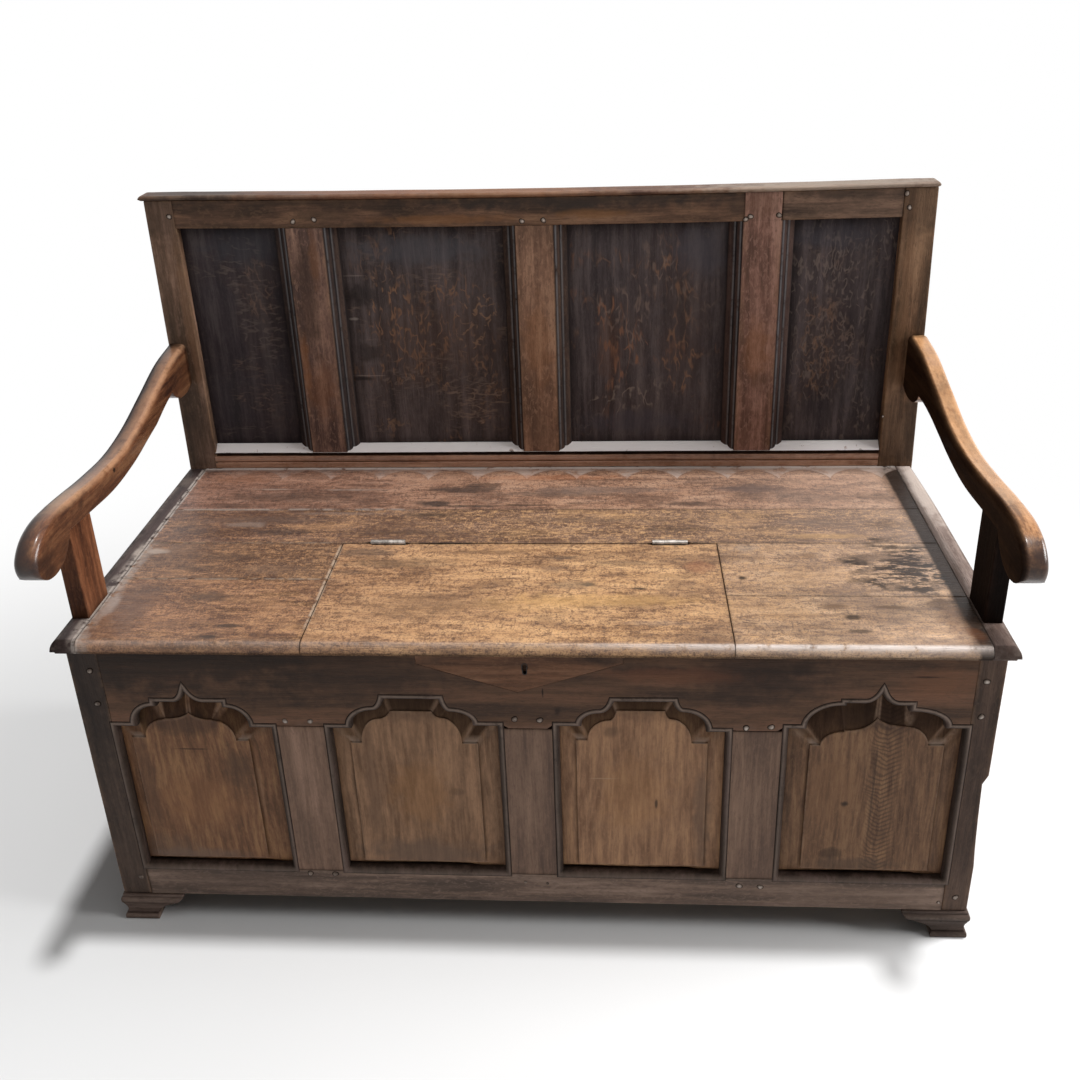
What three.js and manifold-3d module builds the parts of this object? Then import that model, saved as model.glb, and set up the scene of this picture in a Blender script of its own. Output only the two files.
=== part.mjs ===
// Oak box settle: a joined and panelled chest with a lift-up lid in its seat, a panelled back
// and two shaped arms. Millimetres, +X to the right, +Y to the back, +Z up.
import * as THREE from 'three';
import { mergeVertices } from 'three/addons/utils/BufferGeometryUtils.js';
import Module from 'manifold-3d';

const wasm = await Module();
wasm.setup();

// Overall sizes
const baseWidth = 1200;
const baseDepth = 510;
const seatHeight = 500;
const seatThickness = 20;
const backRise = 455;
const footHeight = 47;

// Clearance between pieces that touch, and how far a cutter runs past what it cuts
const touch = 0.3;
const overrun = 2;

// Front frame of the chest
const frontThickness = 26;
const leftStileFace = 41;
const rightStileFace = 34;
const stileDepth = 45;
const frontMuntinFace = 71;
const bottomRailFace = 51;
const topRailFaceAtMuntins = 127;
// Widths of the four openings, as shares of their sum
const openingWidthShares = [0.2423, 0.2555, 0.2489, 0.2533];

// Shaped arches in the front top rail, drawn a little differently by hand in each opening.
// Across, each entry is a share of half the opening; upwards, of the rise above the springing.
// A side lists its edge, then the lobe's start and springing, the lobe's end and top,
// and the inner end of the shelf above it and its height.
const archRise = 72;
const curveSweepDegrees = 65;
const lobeSteps = 6;
const curveSteps = 5;
const archShares = [
  { left: [1, 0.744, 0, 0.452, 0.458, 0.187, 0.556], right: [1, 0.726, 0, 0.434, 0.444, 0.178, 0.556], peak: [-0.041, 0.903] },
  { left: [1, 0.751, 0.01, 0.451, 0.417, 0.339, 0.681], right: [1, 0.717, 0.097, 0.433, 0.403, 0.339, 0.681] },
  { left: [1, 0.736, 0.111, 0.489, 0.403, 0.348, 0.667], right: [1, 0.771, 0.014, 0.463, 0.444, 0.374, 0.667] },
  { left: [1, 0.802, 0.111, 0.388, 0.625, 0.155, 0.681], right: [1, 0.784, 0.153, 0.371, 0.514, 0.216, 0.64], peak: [0.026, 1] },
];
const fieldShares = [
  { left: [0.819, 0.645, -0.361, 0.364, 0.056, 0.33, 0.07], right: [0.638, 0.481, -0.417, 0.227, 0.042, 0.2, 0.056], peak: [-0.054, 0.208] },
  { left: [0.756, 0.627, -0.431, 0.411, 0.118, 0.264, 0.299], right: [0.718, 0.536, -0.417, 0.322, 0.153, 0.21, 0.299] },
  { left: [0.764, 0.632, -0.306, 0.374, 0.139, 0.295, 0.361], right: [0.758, 0.572, -0.347, 0.33, 0.181, 0.263, 0.361] },
  { left: [0.706, 0.593, -0.361, 0.339, -0.056, 0.3, -0.03], right: [0.773, 0.591, -0.333, 0.33, 0.069, 0.3, 0.083], peak: [0.009, 0.25] },
];

// Moulded edge round each front opening
const edgeMouldWidth = 5;
const edgeMouldDepth = 5;
const sillRise = 4;

// Grooves and the panels in them
const grooveDepth = 8;
const grooveFront = 9;
const grooveBack = 17;
const tongueDepth = 7.5;
const tongueFront = 12.4;
const panelBack = 16.7;
const fieldSetBack = 5;
const fieldStep = 2.5;
const fieldBottomInset = 21;

// Mortises and tenons
const tenonThickness = 8;
const tenonFront = 9;
const railTenonLength = 24;
const muntinTenonLength = 26;
const muntinTenonWidth = 44;
const tenonShoulder = 12;
const mortiseRoom = 1;

// Lock let into the front top rail
const patchHalfWidth = 133;
const patchMiddle = -7;
const patchEndFace = 26;
const patchPointFace = 70;
const patchDepth = 6;
const keyholeDrop = 34;
const keyholeRadius = 3;
const keyholeSlotWidth = 3.4;
const keyholeSlotLength = 12;
const keyholeSides = 12;
const lockHalfWidth = 45;
const lockHeight = 55;
const lockDepth = 26;
const lockWall = 2;
const lockTopGap = 5;
const boltLength = 32;
const boltThickness = 4;
const boltHeight = 6;
const boltSeatBelowTop = 19;
const boltTipSetBack = 4;
const boltTalonWidth = 6;
const boltTalonHeight = 2;
const guideWidth = 6;
const staplePlateHalfWidth = 16;
const staplePlateThickness = 2.4;
const staplePlateDepth = 22;
const stapleThickness = 4;
const stapleWidth = 10;
const stapleLength = 26;
const stapleSetBack = 36;
const stapleEyeRoom = 0.4;
const stapleSlotHalfWidth = 4;
const stapleSlotFrontRoom = 6;
const stapleSlotBackRoom = 2;

// Sides and back of the chest
const sideThickness = 26;
const sideTopRailFace = 80;
const sideBottomRailFace = 63;
const sideFieldInset = 30;
const backRailThickness = 26;
const backRailSetIn = 4;
const backPanelThickness = 7.4;
const postWidth = 55;
const postDepth = 30;

// Floor of the chest
const floorThickness = 16;
const floorRise = 15;

// Bracket feet
const footRun = 88;
const footReturn = 70;
const footProud = 5;
const footMouldFall = 12;
const footWaistIn = 5;
const footBaseFall = 38;
const footToeRun = 46;
const footBracketSteps = 5;
const footBracketFall = 10;

// Seat
const seatOverhangFront = 24;
const seatOverhangSide = 6;
const edgeStripWidth = 33;
const noseSetBack = 4;
const noseFillet = 5;
const noseSteps = 5;
const rearBoardFront = 333;
const lidRearEdge = 229;
const lidRearGap = 1.5;
const lidLeftShare = 0.4637;
const lidRightShare = 0.434;
const lidSideGap = 0.8;
const leftBoardJoint = 130;
const rightBoardJoint = 92;
const bearerWidth = 38;
const bearerHeight = 40;
const bearerTenon = 10;

// Butt hinges of the lid
const hingeInset = 67;
const hingeLength = 50;
const knuckleRadius = 4;
const knuckleRise = 0.6;
const middleKnuckle = 16.4;
const pinRadius = 1.8;
const pinBoreRadius = 2.12;
const leafThickness = 1.5;
const leafHeight = 14;
const knuckleSides = 16;

// Panelled back
const backFrameThickness = 28;
const backTopRailFace = 47;
const backRailFace = 29;
const backRailChamferRise = 11;
const backRailChamferDepth = 12;
const backQuirkHeight = 25;
const backQuirkWidth = 2.5;
const backQuirkDepth = 3;
const backMuntinFace = 55;
const backMouldWidth = 22;
const backMouldDepth = 12;
// Middles of the three back muntins, as shares of half the width between the posts
const backMuntinPlaceShares = [-0.6532, -0.0037, 0.6257];
const backPanelFront = 14;
const backPanelBack = 22;
const backTenonThickness = 8;
const capThickness = 10;
const capProud = 6;
const capEndProud = 6;
const capSteps = 6;
// Moulding on the muntins' edges: shares of its width from the face, and of its depth
const mouldWidthShares = [0, 0.1, 0.1, 0.3, 0.45, 0.52, 0.52, 0.68, 0.68, 0.86, 1];
const mouldDepthShares = [0, 0, 0.18, 0.2, 0.34, 0.5, 0.62, 0.62, 0.74, 0.82, 1];

// Arms and their supports
// Heights of the arm are given above the seat
const armThickness = 30;
const armProud = 2;
const armRound = 6;
const armRoundSteps = 2;
const armRiseAtPost = 223;
const armRiseLow = 158;
const armRiseNose = 167;
const armNoseReach = 61;
const armRiseNoseUnder = 99;
const armRiseUnder = 132;
const armRiseHeelUnder = 134;
const armRiseHeelCusp = 158;
const armTenonLength = 20;
const armTenonThickness = 10;
const armCurveSteps = 5;
const supportThickness = 23;
const supportFront = 31;
const supportWidth = 60;
const supportTenonThickness = 10;
const supportTenonWidth = 26;
const supportTopTenon = 16;
const supportFootTenon = 34;

const halfWidth = baseWidth / 2;
const seatUnderside = seatHeight - seatThickness;
const postHeight = seatHeight + backRise;
const backPlane = baseDepth - postDepth;
const railTop = footHeight + bottomRailFace;
const springHeight = seatUnderside - topRailFaceAtMuntins;
const depthCentre = (baseDepth - armNoseReach) / 2;

// Solids, as manifolds

/** A closed manifold from a geometry whose faces point out. */
function solid(geometry) {
  const bare = geometry.clone();
  bare.deleteAttribute('normal');
  bare.deleteAttribute('uv');
  const merged = mergeVertices(bare, touch / 1000);
  const vertProperties = new Float32Array(merged.attributes.position.array);
  const triVerts = new Uint32Array(merged.index.array);
  return new wasm.Manifold(new wasm.Mesh({ numProp: 3, vertProperties, triVerts }));
}

/** A box from its lowest corner to its highest, given as x0, x1, y0, y1, z0, z1. */
function block(x0, x1, y0, y1, z0, z1) {
  const geometry = new THREE.BoxGeometry(x1 - x0, y1 - y0, z1 - z0);
  geometry.translate((x0 + x1) / 2, (y0 + y1) / 2, (z0 + z1) / 2);
  return solid(geometry);
}

/** A prism on an outline of [u, v] pairs, run from a low to a high depth. */
function prism(outline, low, high) {
  const shape = new THREE.Shape(outline.map(([u, v]) => new THREE.Vector2(u, v)));
  const geometry = new THREE.ExtrudeGeometry(shape, { depth: high - low, bevelEnabled: false });
  geometry.translate(0, 0, low);
  return geometry;
}

/** Prism along Z on an outline of [x, y] pairs. */
function alongZ(outline, low, high) {
  return solid(prism(outline, low, high));
}

/** Prism along Y on an outline of [x, z] pairs. */
function alongY(outline, low, high) {
  const geometry = prism(outline, -high, -low);
  geometry.rotateX(Math.PI / 2);
  return solid(geometry);
}

/** Prism along X on an outline of [y, z] pairs. */
function alongX(outline, low, high) {
  const geometry = prism(outline, low, high);
  geometry.rotateY(Math.PI / 2);
  geometry.rotateX(Math.PI / 2);
  return solid(geometry);
}

/** Signed area of an outline, positive when it runs anticlockwise. */
function outlineArea(outline) {
  return THREE.ShapeUtils.area(outline.map(([u, v]) => new THREE.Vector2(u, v)));
}

/** Solid through rings of [x, z] pairs, each at its own y, from the front to the back. */
function loft(rings, depths) {
  const count = rings[0].length;
  const turned = outlineArea(rings[0]) < 0;
  const ordered = rings.map((ring) => (turned ? [...ring].reverse() : ring));
  const positions = ordered.flatMap((ring, k) => ring.flatMap(([x, z]) => [x, depths[k], z]));
  const index = [];
  for (let k = 0; k + 1 < ordered.length; k += 1) {
    for (let i = 0; i < count; i += 1) {
      const j = (i + 1) % count;
      const a = k * count + i;
      const b = k * count + j;
      index.push(a, a + count, b, b, a + count, b + count);
    }
  }
  const last = (ordered.length - 1) * count;
  const flat = (ring) => ring.map(([x, z]) => new THREE.Vector2(x, z));
  for (const [a, b, c] of THREE.ShapeUtils.triangulateShape(flat(ordered[0]), [])) {
    index.push(a, b, c);
  }
  for (const [a, b, c] of THREE.ShapeUtils.triangulateShape(flat(ordered.at(-1)), [])) {
    index.push(last + a, last + c, last + b);
  }
  const geometry = new THREE.BufferGeometry();
  geometry.setAttribute('position', new THREE.Float32BufferAttribute(positions, 3));
  geometry.setIndex(index);
  return solid(geometry);
}

/** All the cutters taken away from a solid. */
function cutAll(body, cutters) {
  return cutters.reduce((left, cutter) => left.subtract(cutter), body);
}

/** All the solids joined. */
function joinAll(solids) {
  return solids.reduce((sum, next) => sum.add(next));
}

/** An outline moved sideways. */
function shifted(outline, dx) {
  return outline.map(([x, z]) => [x + dx, z]);
}

/** A piece and its mirror image across the middle of the settle. */
function mirrored(body) {
  return body.mirror([1, 0, 0]);
}

// Materials

/** Plain finish of one piece. */
function finish(colour, roughness, metalness = 0) {
  return new THREE.MeshStandardMaterial({ color: colour, roughness, metalness });
}

const finishes = {
  frame: () => finish(0x4a3226, 0.55),
  back: () => finish(0x5a3c27, 0.5),
  panel: () => finish(0x5e3e2a, 0.55),
  dark: () => finish(0x231a18, 0.5),
  seat: () => finish(0x7d5331, 0.5),
  arm: () => finish(0x7a4a2a, 0.35),
  inside: () => finish(0x6d553c, 0.8),
  iron: () => finish(0x2e2a28, 0.6, 0.8),
};

const settle = new THREE.Group();
const bench = new THREE.Group();
bench.position.y = -depthCentre;
settle.add(bench);

/** Puts a solid into the settle under its name. */
function place(name, body, look) {
  const { numProp, vertProperties, triVerts } = body.getMesh();
  const points = new Float32Array((vertProperties.length / numProp) * 3);
  for (let i = 0; i < points.length / 3; i += 1) {
    points.set(vertProperties.subarray(i * numProp, i * numProp + 3), i * 3);
  }
  const geometry = new THREE.BufferGeometry();
  geometry.setAttribute('position', new THREE.BufferAttribute(points, 3));
  geometry.setIndex(new THREE.BufferAttribute(new Uint32Array(triVerts), 1));
  geometry.computeVertexNormals();
  const mesh = new THREE.Mesh(geometry, finishes[look]());
  mesh.name = name;
  bench.add(mesh);
}

// Front frame

const clearWidth = baseWidth - leftStileFace - rightStileFace;
const openingsWidth = clearWidth - (openingWidthShares.length - 1) * frontMuntinFace;
const curveSweep = THREE.MathUtils.degToRad(curveSweepDegrees);

/** Left and right edges of a front opening, counted from nought. */
function openingEdges(index) {
  const before = openingWidthShares.slice(0, index).reduce((sum, share) => sum + share, 0);
  const left = -halfWidth + leftStileFace + before * openingsWidth + index * frontMuntinFace;
  return [left, left + openingWidthShares[index] * openingsWidth];
}

/** One side of an arch in real sizes, from its list of shares. */
function archSide([edge, start, spring, end, lobe, inner, shelf], half) {
  const up = (share) => springHeight + share * archRise;
  return {
    edge: edge * half,
    start: start * half,
    spring: up(spring),
    end: end * half,
    lobe: up(lobe),
    inner: inner * half,
    shelf: up(shelf),
  };
}

/** The sizes of an arch: both sides and, where it has one, its point. */
function archSizes(index, shares, bottom) {
  const [left, right] = openingEdges(index);
  const half = (right - left) / 2;
  const point = shares[index].peak;
  return {
    middle: (left + right) / 2,
    bottom,
    left: archSide(shares[index].left, half),
    right: archSide(shares[index].right, half),
    peak: point && { across: point[0] * half, up: springHeight + point[1] * archRise },
  };
}

/** The same arch, grown outwards by one amount, and downwards by another. */
function grown(sizes, by, below) {
  const widen = (side) => ({
    edge: side.edge + by,
    start: side.start + by,
    spring: side.spring + by,
    end: side.end + by,
    lobe: side.lobe + by,
    inner: side.inner + (sizes.peak ? 0 : by),
    shelf: side.shelf + by,
  });
  return {
    middle: sizes.middle,
    bottom: sizes.bottom - below,
    left: widen(sizes.left),
    right: widen(sizes.right),
    peak: sizes.peak && { across: sizes.peak.across, up: sizes.peak.up + by },
  };
}

/** Hollow curve that leaves level from one point and steepens to another. */
function hollowCurve(fromX, fromZ, toX, toZ) {
  const points = [];
  for (let i = 1; i <= curveSteps; i += 1) {
    const turn = (curveSweep * i) / curveSteps;
    const across = Math.sin(turn) / Math.sin(curveSweep);
    const up = (1 - Math.cos(turn)) / (1 - Math.cos(curveSweep));
    points.push([fromX + (toX - fromX) * across, fromZ + (toZ - fromZ) * up]);
  }
  return points;
}

/** One side of an arch's outline from its foot to its top, with distances from the middle. */
function archHalf(side, bottom, peakAcross, peak) {
  const half = [[side.edge, bottom], [side.edge, side.spring], [side.start, side.spring]];
  for (let i = 1; i <= lobeSteps; i += 1) {
    const turn = (Math.PI / 2) * (i / lobeSteps);
    const x = side.end + (side.start - side.end) * Math.cos(turn);
    half.push([x, side.spring + (side.lobe - side.spring) * Math.sin(turn)]);
  }
  if (peak) {
    half.push([side.end, side.shelf], [side.inner, side.shelf]);
    half.push(...hollowCurve(side.inner, side.shelf, peakAcross, peak.up));
  } else {
    half.push(...hollowCurve(side.end, side.lobe, side.inner, side.shelf));
  }
  return half;
}

/** Outline of an arched opening or field. */
function archOutline({ middle, bottom, left, right, peak }) {
  const across = peak ? peak.across : 0;
  const rightHalf = archHalf(right, bottom, across, peak);
  const leftHalf = archHalf(left, bottom, -across, peak).map(([x, z]) => [-x, z]).reverse();
  return shifted([...rightHalf, ...leftHalf.slice(peak ? 1 : 0)], middle);
}

/** What one front opening takes out of its frame: the hole, the groove and the moulded edge. */
function openingCutters(index) {
  const face = archSizes(index, archShares, railTop);
  const ring = (grow, below) => archOutline(grown(face, grow, below));
  const hole = alongY(ring(-edgeMouldWidth, -sillRise), -overrun, stileDepth + overrun);
  const groove = alongY(ring(grooveDepth - edgeMouldWidth, grooveDepth - sillRise), grooveFront, grooveBack);
  const ahead = overrun / edgeMouldDepth;
  const edgeRings = [ring(ahead * edgeMouldWidth, ahead * sillRise), ring(-edgeMouldWidth, -sillRise)];
  const edge = loft(edgeRings, [-overrun, edgeMouldDepth]);
  return { hole, groove, edge };
}

const openings = openingWidthShares.map((_, index) => openingCutters(index));
const openingTools = openings.flatMap(({ hole, groove, edge }) => [hole, groove, edge]);

/** Tenon that runs along X, with its height given. */
function frontTenonX(x0, x1, z0, z1, room = 0) {
  const back = tenonFront + tenonThickness;
  return block(x0, x1, tenonFront - room, back + room, z0 - room, z1 + room);
}

/** Tenon on the end of a muntin. */
function muntinTenon(middle, z0, z1, room = 0) {
  const half = muntinTenonWidth / 2 + room;
  const back = tenonFront + tenonThickness;
  return block(middle - half, middle + half, tenonFront - room, back + room, z0, z1);
}

const leftInner = -halfWidth + leftStileFace;
const rightInner = halfWidth - rightStileFace;
const topTenonLow = springHeight + grooveDepth + tenonShoulder;
const topTenonHigh = seatUnderside - tenonShoulder;
const bottomTenonLow = footHeight + tenonShoulder;
const bottomTenonHigh = railTop - grooveDepth - mortiseRoom;

/** Middle of a front muntin, counted from nought. */
function frontMuntinMiddle(index) {
  return openingEdges(index)[1] + frontMuntinFace / 2;
}

/** Outline of the let-in patch round the keyhole, seen from the front. */
function patchOutline(room = 0) {
  const half = patchHalfWidth + room;
  const ends = seatUnderside - patchEndFace - room;
  const top = seatUnderside + overrun;
  const outline = [[-half, ends], [0, seatUnderside - patchPointFace - room], [half, ends], [half, top], [-half, top]];
  return shifted(outline, patchMiddle);
}

/** Keyhole: a round eye with a slot below it, run from one depth to another. */
function keyhole(y0, y1) {
  const eye = new THREE.CylinderGeometry(keyholeRadius, keyholeRadius, y1 - y0, keyholeSides);
  const middle = seatUnderside - keyholeDrop;
  eye.translate(0, (y0 + y1) / 2, middle + keyholeSlotLength / 2);
  const slotHalf = keyholeSlotWidth / 2;
  const low = middle - keyholeSlotLength / 2;
  return solid(eye).add(block(-slotHalf, slotHalf, y0, y1, low, low + keyholeSlotLength));
}

function frontTopRail() {
  const body = block(leftInner + touch, rightInner - touch, 0, frontThickness, springHeight, seatUnderside);
  const left = frontTenonX(leftInner - railTenonLength, leftInner + overrun, topTenonLow, topTenonHigh);
  const right = frontTenonX(rightInner - overrun, rightInner + railTenonLength, topTenonLow, topTenonHigh);
  const mortiseTop = springHeight + muntinTenonLength + mortiseRoom;
  const mortises = [0, 1, 2].map((index) => (
    muntinTenon(frontMuntinMiddle(index), springHeight - overrun, mortiseTop, touch)));
  const patch = alongY(patchOutline(touch), -overrun, patchDepth + touch);
  const bearerMortises = [bearerMiddle(-1), bearerMiddle(1)].map((middle) => (
    bearerTenonBlock(middle, frontThickness - bearerTenon - mortiseRoom, frontThickness + overrun, touch)));
  const cutters = [...openingTools, ...mortises, ...bearerMortises, patch, keyhole(-overrun, frontThickness + overrun)];
  return joinAll([cutAll(body, cutters), left, right]);
}

function lockPatch() {
  const slab = alongY(patchOutline(), 0, patchDepth);
  const above = block(-halfWidth, halfWidth, -overrun, frontThickness, seatUnderside, seatHeight);
  return cutAll(slab, [above, keyhole(-overrun, patchDepth + overrun)]);
}

function frontBottomRail() {
  const body = block(leftInner + touch, rightInner - touch, 0, frontThickness, footHeight, railTop);
  const left = frontTenonX(leftInner - railTenonLength, leftInner + overrun, bottomTenonLow, bottomTenonHigh);
  const right = frontTenonX(rightInner - overrun, rightInner + railTenonLength, bottomTenonLow, bottomTenonHigh);
  const low = railTop - muntinTenonLength - mortiseRoom;
  const mortises = [0, 1, 2].map((index) => (
    muntinTenon(frontMuntinMiddle(index), low, railTop + overrun, touch)));
  return joinAll([cutAll(body, [...openingTools, ...mortises, floorGroove()]), left, right]);
}

function frontMuntin(index) {
  const middle = frontMuntinMiddle(index);
  const half = frontMuntinFace / 2 + edgeMouldWidth + overrun;
  const body = block(middle - half, middle + half, 0, frontThickness, railTop + touch, springHeight - touch);
  const low = muntinTenon(middle, railTop - muntinTenonLength, railTop + overrun);
  const high = muntinTenon(middle, springHeight - overrun, springHeight + muntinTenonLength);
  return joinAll([cutAll(body, openingTools), low, high]);
}

/** One front stile, with the mortises for the rails of the front and of the side. */
function frontStile(outer, inner) {
  const side = Math.sign(outer);
  const body = block(Math.min(outer, inner), Math.max(outer, inner), 0, stileDepth, footHeight, seatUnderside);
  const reach = inner + side * (railTenonLength + mortiseRoom);
  const [x0, x1] = side < 0 ? [reach, inner + overrun] : [inner - overrun, reach];
  const frontMortises = [
    frontTenonX(x0, x1, topTenonLow, topTenonHigh, touch),
    frontTenonX(x0, x1, bottomTenonLow, bottomTenonHigh, touch),
  ];
  const sideCutters = sideSockets(side, stileDepth - sideTenonLength - mortiseRoom, stileDepth + overrun);
  const groove = sidePanelGroove(side, stileDepth - grooveDepth, stileDepth + overrun);
  return cutAll(body, [...openingTools, ...frontMortises, ...sideCutters, groove]);
}

function frontPanel(index) {
  const field = archOutline(archSizes(index, fieldShares, railTop + fieldBottomInset));
  const face = archSizes(index, archShares, railTop);
  const tongue = archOutline(grown(face, tongueDepth - edgeMouldWidth, tongueDepth - sillRise));
  const depths = [fieldSetBack, fieldSetBack + fieldStep, tongueFront, panelBack];
  return loft([field, field, tongue, tongue], depths);
}

// Sides of the chest

const sideTenonLength = 20;
const sideTopRailLow = seatUnderside - sideTopRailFace;
const sideBottomRailHigh = footHeight + sideBottomRailFace;
const sideRailTenons = [
  [sideTopRailLow + grooveDepth + tenonShoulder, seatUnderside - tenonShoulder],
  [footHeight + tenonShoulder, sideBottomRailHigh - grooveDepth - mortiseRoom],
];

/** Distance range from the outer side face, as x values on one side of the settle. */
function sideRange(side, from, to) {
  const a = side * (halfWidth - from);
  const b = side * (halfWidth - to);
  return [Math.min(a, b), Math.max(a, b)];
}

/** Tenon or mortise of a side rail, run along Y. */
function sideTenon(side, y0, y1, [z0, z1], room = 0) {
  const [x0, x1] = sideRange(side, tenonFront - room, tenonFront + tenonThickness + room);
  return block(x0, x1, y0, y1, z0 - room, z1 + room);
}

/** Both mortises for the side rails, over one range of y. */
function sideSockets(side, y0, y1) {
  return sideRailTenons.map((heights) => sideTenon(side, y0, y1, heights, touch));
}

/** Groove for the side panel, over one range of y. */
function sidePanelGroove(side, y0, y1) {
  const [x0, x1] = sideRange(side, grooveFront, grooveBack);
  return block(x0, x1, y0, y1, sideBottomRailHigh - grooveDepth, sideTopRailLow + grooveDepth);
}

/** Side rail with tenons at both ends and a groove for the panel. */
function sideRail(side, z0, z1, tenonHeights) {
  const [x0, x1] = sideRange(side, 0, sideThickness);
  const body = block(x0, x1, stileDepth + touch, backPlane - touch, z0, z1);
  const front = sideTenon(side, stileDepth - sideTenonLength, stileDepth + overrun, tenonHeights);
  const rear = sideTenon(side, backPlane - overrun, backPlane + sideTenonLength, tenonHeights);
  const groove = sidePanelGroove(side, 0, baseDepth);
  const socket = supportFootSocket(side);
  return joinAll([cutAll(body, [groove, floorGroove(), socket]), front, rear]);
}

/** Rectangle as a ring of pairs, inset by one amount all round. */
function rectangle(u0, u1, v0, v1, inset) {
  return [
    [u0 + inset, v0 + inset], [u1 - inset, v0 + inset], [u1 - inset, v1 - inset], [u0 + inset, v1 - inset],
  ];
}

/** Fielded panel of one side, made lying across X and then turned to face outwards. */
function sidePanel(side) {
  const ring = (inset) => rectangle(stileDepth, backPlane, sideBottomRailHigh, sideTopRailLow, inset);
  const rings = [ring(sideFieldInset), ring(sideFieldInset), ring(-tongueDepth), ring(-tongueDepth)];
  const depths = [fieldSetBack, fieldSetBack + fieldStep, tongueFront, panelBack];
  const facing = loft(rings, depths);
  const turned = facing.rotate([0, 0, 90]).translate([halfWidth, 0, 0]);
  return side > 0 ? turned : mirrored(turned);
}

// Posts and the frame across the back of the chest

const postInner = halfWidth - postWidth;
const baseBackFront = backPlane + backRailSetIn;
const baseBackBack = baseBackFront + backRailThickness;
const backPanelMiddle = baseBackFront + backRailThickness / 2;
const postTenonLength = 22;

/** Tenon or mortise that enters a post from between the posts. */
function postTenon(side, x0, y0, z0, z1, room = 0) {
  const reach = postInner + postTenonLength + (room > 0 ? mortiseRoom : 0);
  const [a, b] = side < 0 ? [-reach, -x0] : [x0, reach];
  return block(a, b, y0 - room, y0 + backTenonThickness + room, z0 - room, z1 + room);
}

const backTenonFront = backPlane + (backFrameThickness - backTenonThickness) / 2;
const baseTenonFront = backPanelMiddle - backTenonThickness / 2;
const upperRailLow = postHeight - backTopRailFace;
const sillTop = seatHeight + backRailFace + backRailChamferRise;
const postTenons = [
  [backTenonFront, upperRailLow + grooveDepth + tenonShoulder / 2, postHeight - tenonShoulder],
  [backTenonFront, seatHeight + tenonShoulder / 2, sillTop - grooveDepth - tenonShoulder],
  [baseTenonFront, sideTopRailLow + grooveDepth + tenonShoulder, seatUnderside - tenonShoulder],
  [baseTenonFront, footHeight + tenonShoulder, sideBottomRailHigh - grooveDepth - mortiseRoom],
];

/** Groove for the wide panel in the back of the chest. */
function baseBackGroove(x0, x1) {
  const half = backPanelThickness / 2 + touch;
  const low = sideBottomRailHigh - grooveDepth;
  return block(x0, x1, backPanelMiddle - half, backPanelMiddle + half, low, sideTopRailLow + grooveDepth);
}

/** Groove for a panel of the settle's back in the inner face of a post. */
function backPanelSlot(x0, x1, z0, z1) {
  return block(x0, x1, backPlane + backPanelFront - touch, backPlane + backPanelBack + touch, z0, z1);
}

function rearPost(side) {
  const [x0, x1] = sideRange(side, 0, postWidth);
  const body = block(x0, x1, backPlane, baseDepth, 0, postHeight);
  const sockets = postTenons.map(([y0, z0, z1]) => postTenon(side, postInner - overrun, y0, z0, z1, touch));
  const sideCutters = sideSockets(side, backPlane - overrun, backPlane + sideTenonLength + mortiseRoom);
  const groove = sidePanelGroove(side, backPlane - overrun, backPlane + grooveDepth);
  const [g0, g1] = sideRange(side, postWidth - grooveDepth, postWidth + overrun);
  const slot = backPanelSlot(g0, g1, sillTop - grooveDepth, upperRailLow + grooveDepth);
  const lowSlot = baseBackGroove(g0, g1);
  return cutAll(body, [...sockets, ...sideCutters, groove, slot, lowSlot, armSocket(side)]);
}

/** Rail across the back of the chest, between the posts. */
function baseBackRail(z0, z1, [y0, t0, t1]) {
  const body = block(-postInner + touch, postInner - touch, baseBackFront, baseBackBack, z0, z1);
  const tenons = [-1, 1].map((side) => postTenon(side, postInner - overrun, y0, t0, t1));
  const sockets = [bearerMiddle(-1), bearerMiddle(1)].map((middle) => (
    bearerTenonBlock(middle, baseBackFront - overrun, baseBackFront + bearerTenon + mortiseRoom, touch)));
  return joinAll([cutAll(body, [baseBackGroove(-halfWidth, halfWidth), floorGroove(), ...sockets]), ...tenons]);
}

function baseBackPanel() {
  const half = backPanelThickness / 2;
  const reach = postInner + tongueDepth;
  return block(-reach, reach, backPanelMiddle - half, backPanelMiddle + half,
    sideBottomRailHigh - tongueDepth, sideTopRailLow + tongueDepth);
}

// Floor of the chest

const floorHeight = footHeight + floorRise;

/** The room that the floor takes in the rails around it. */
function floorGroove() {
  const reach = halfWidth - sideThickness + grooveDepth;
  return block(-reach, reach, frontThickness - grooveDepth, baseBackFront + grooveDepth,
    floorHeight - touch, floorHeight + floorThickness + touch);
}

/** One of the two long boards of the floor, notched at the corners. */
function floorBoard(y0, y1) {
  const reach = halfWidth - sideThickness + tongueDepth;
  const body = block(-reach, reach, y0, y1, floorHeight, floorHeight + floorThickness);
  const past = halfWidth + overrun;
  const corners = [
    block(-past, leftInner + touch, -overrun, stileDepth + touch, 0, seatUnderside),
    block(rightInner - touch, past, -overrun, stileDepth + touch, 0, seatUnderside),
    block(-past, -postInner + touch, backPlane - touch, baseDepth, 0, seatUnderside),
    block(postInner - touch, past, backPlane - touch, baseDepth, 0, seatUnderside),
  ];
  return cutAll(body, corners);
}

// Bracket feet

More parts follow.
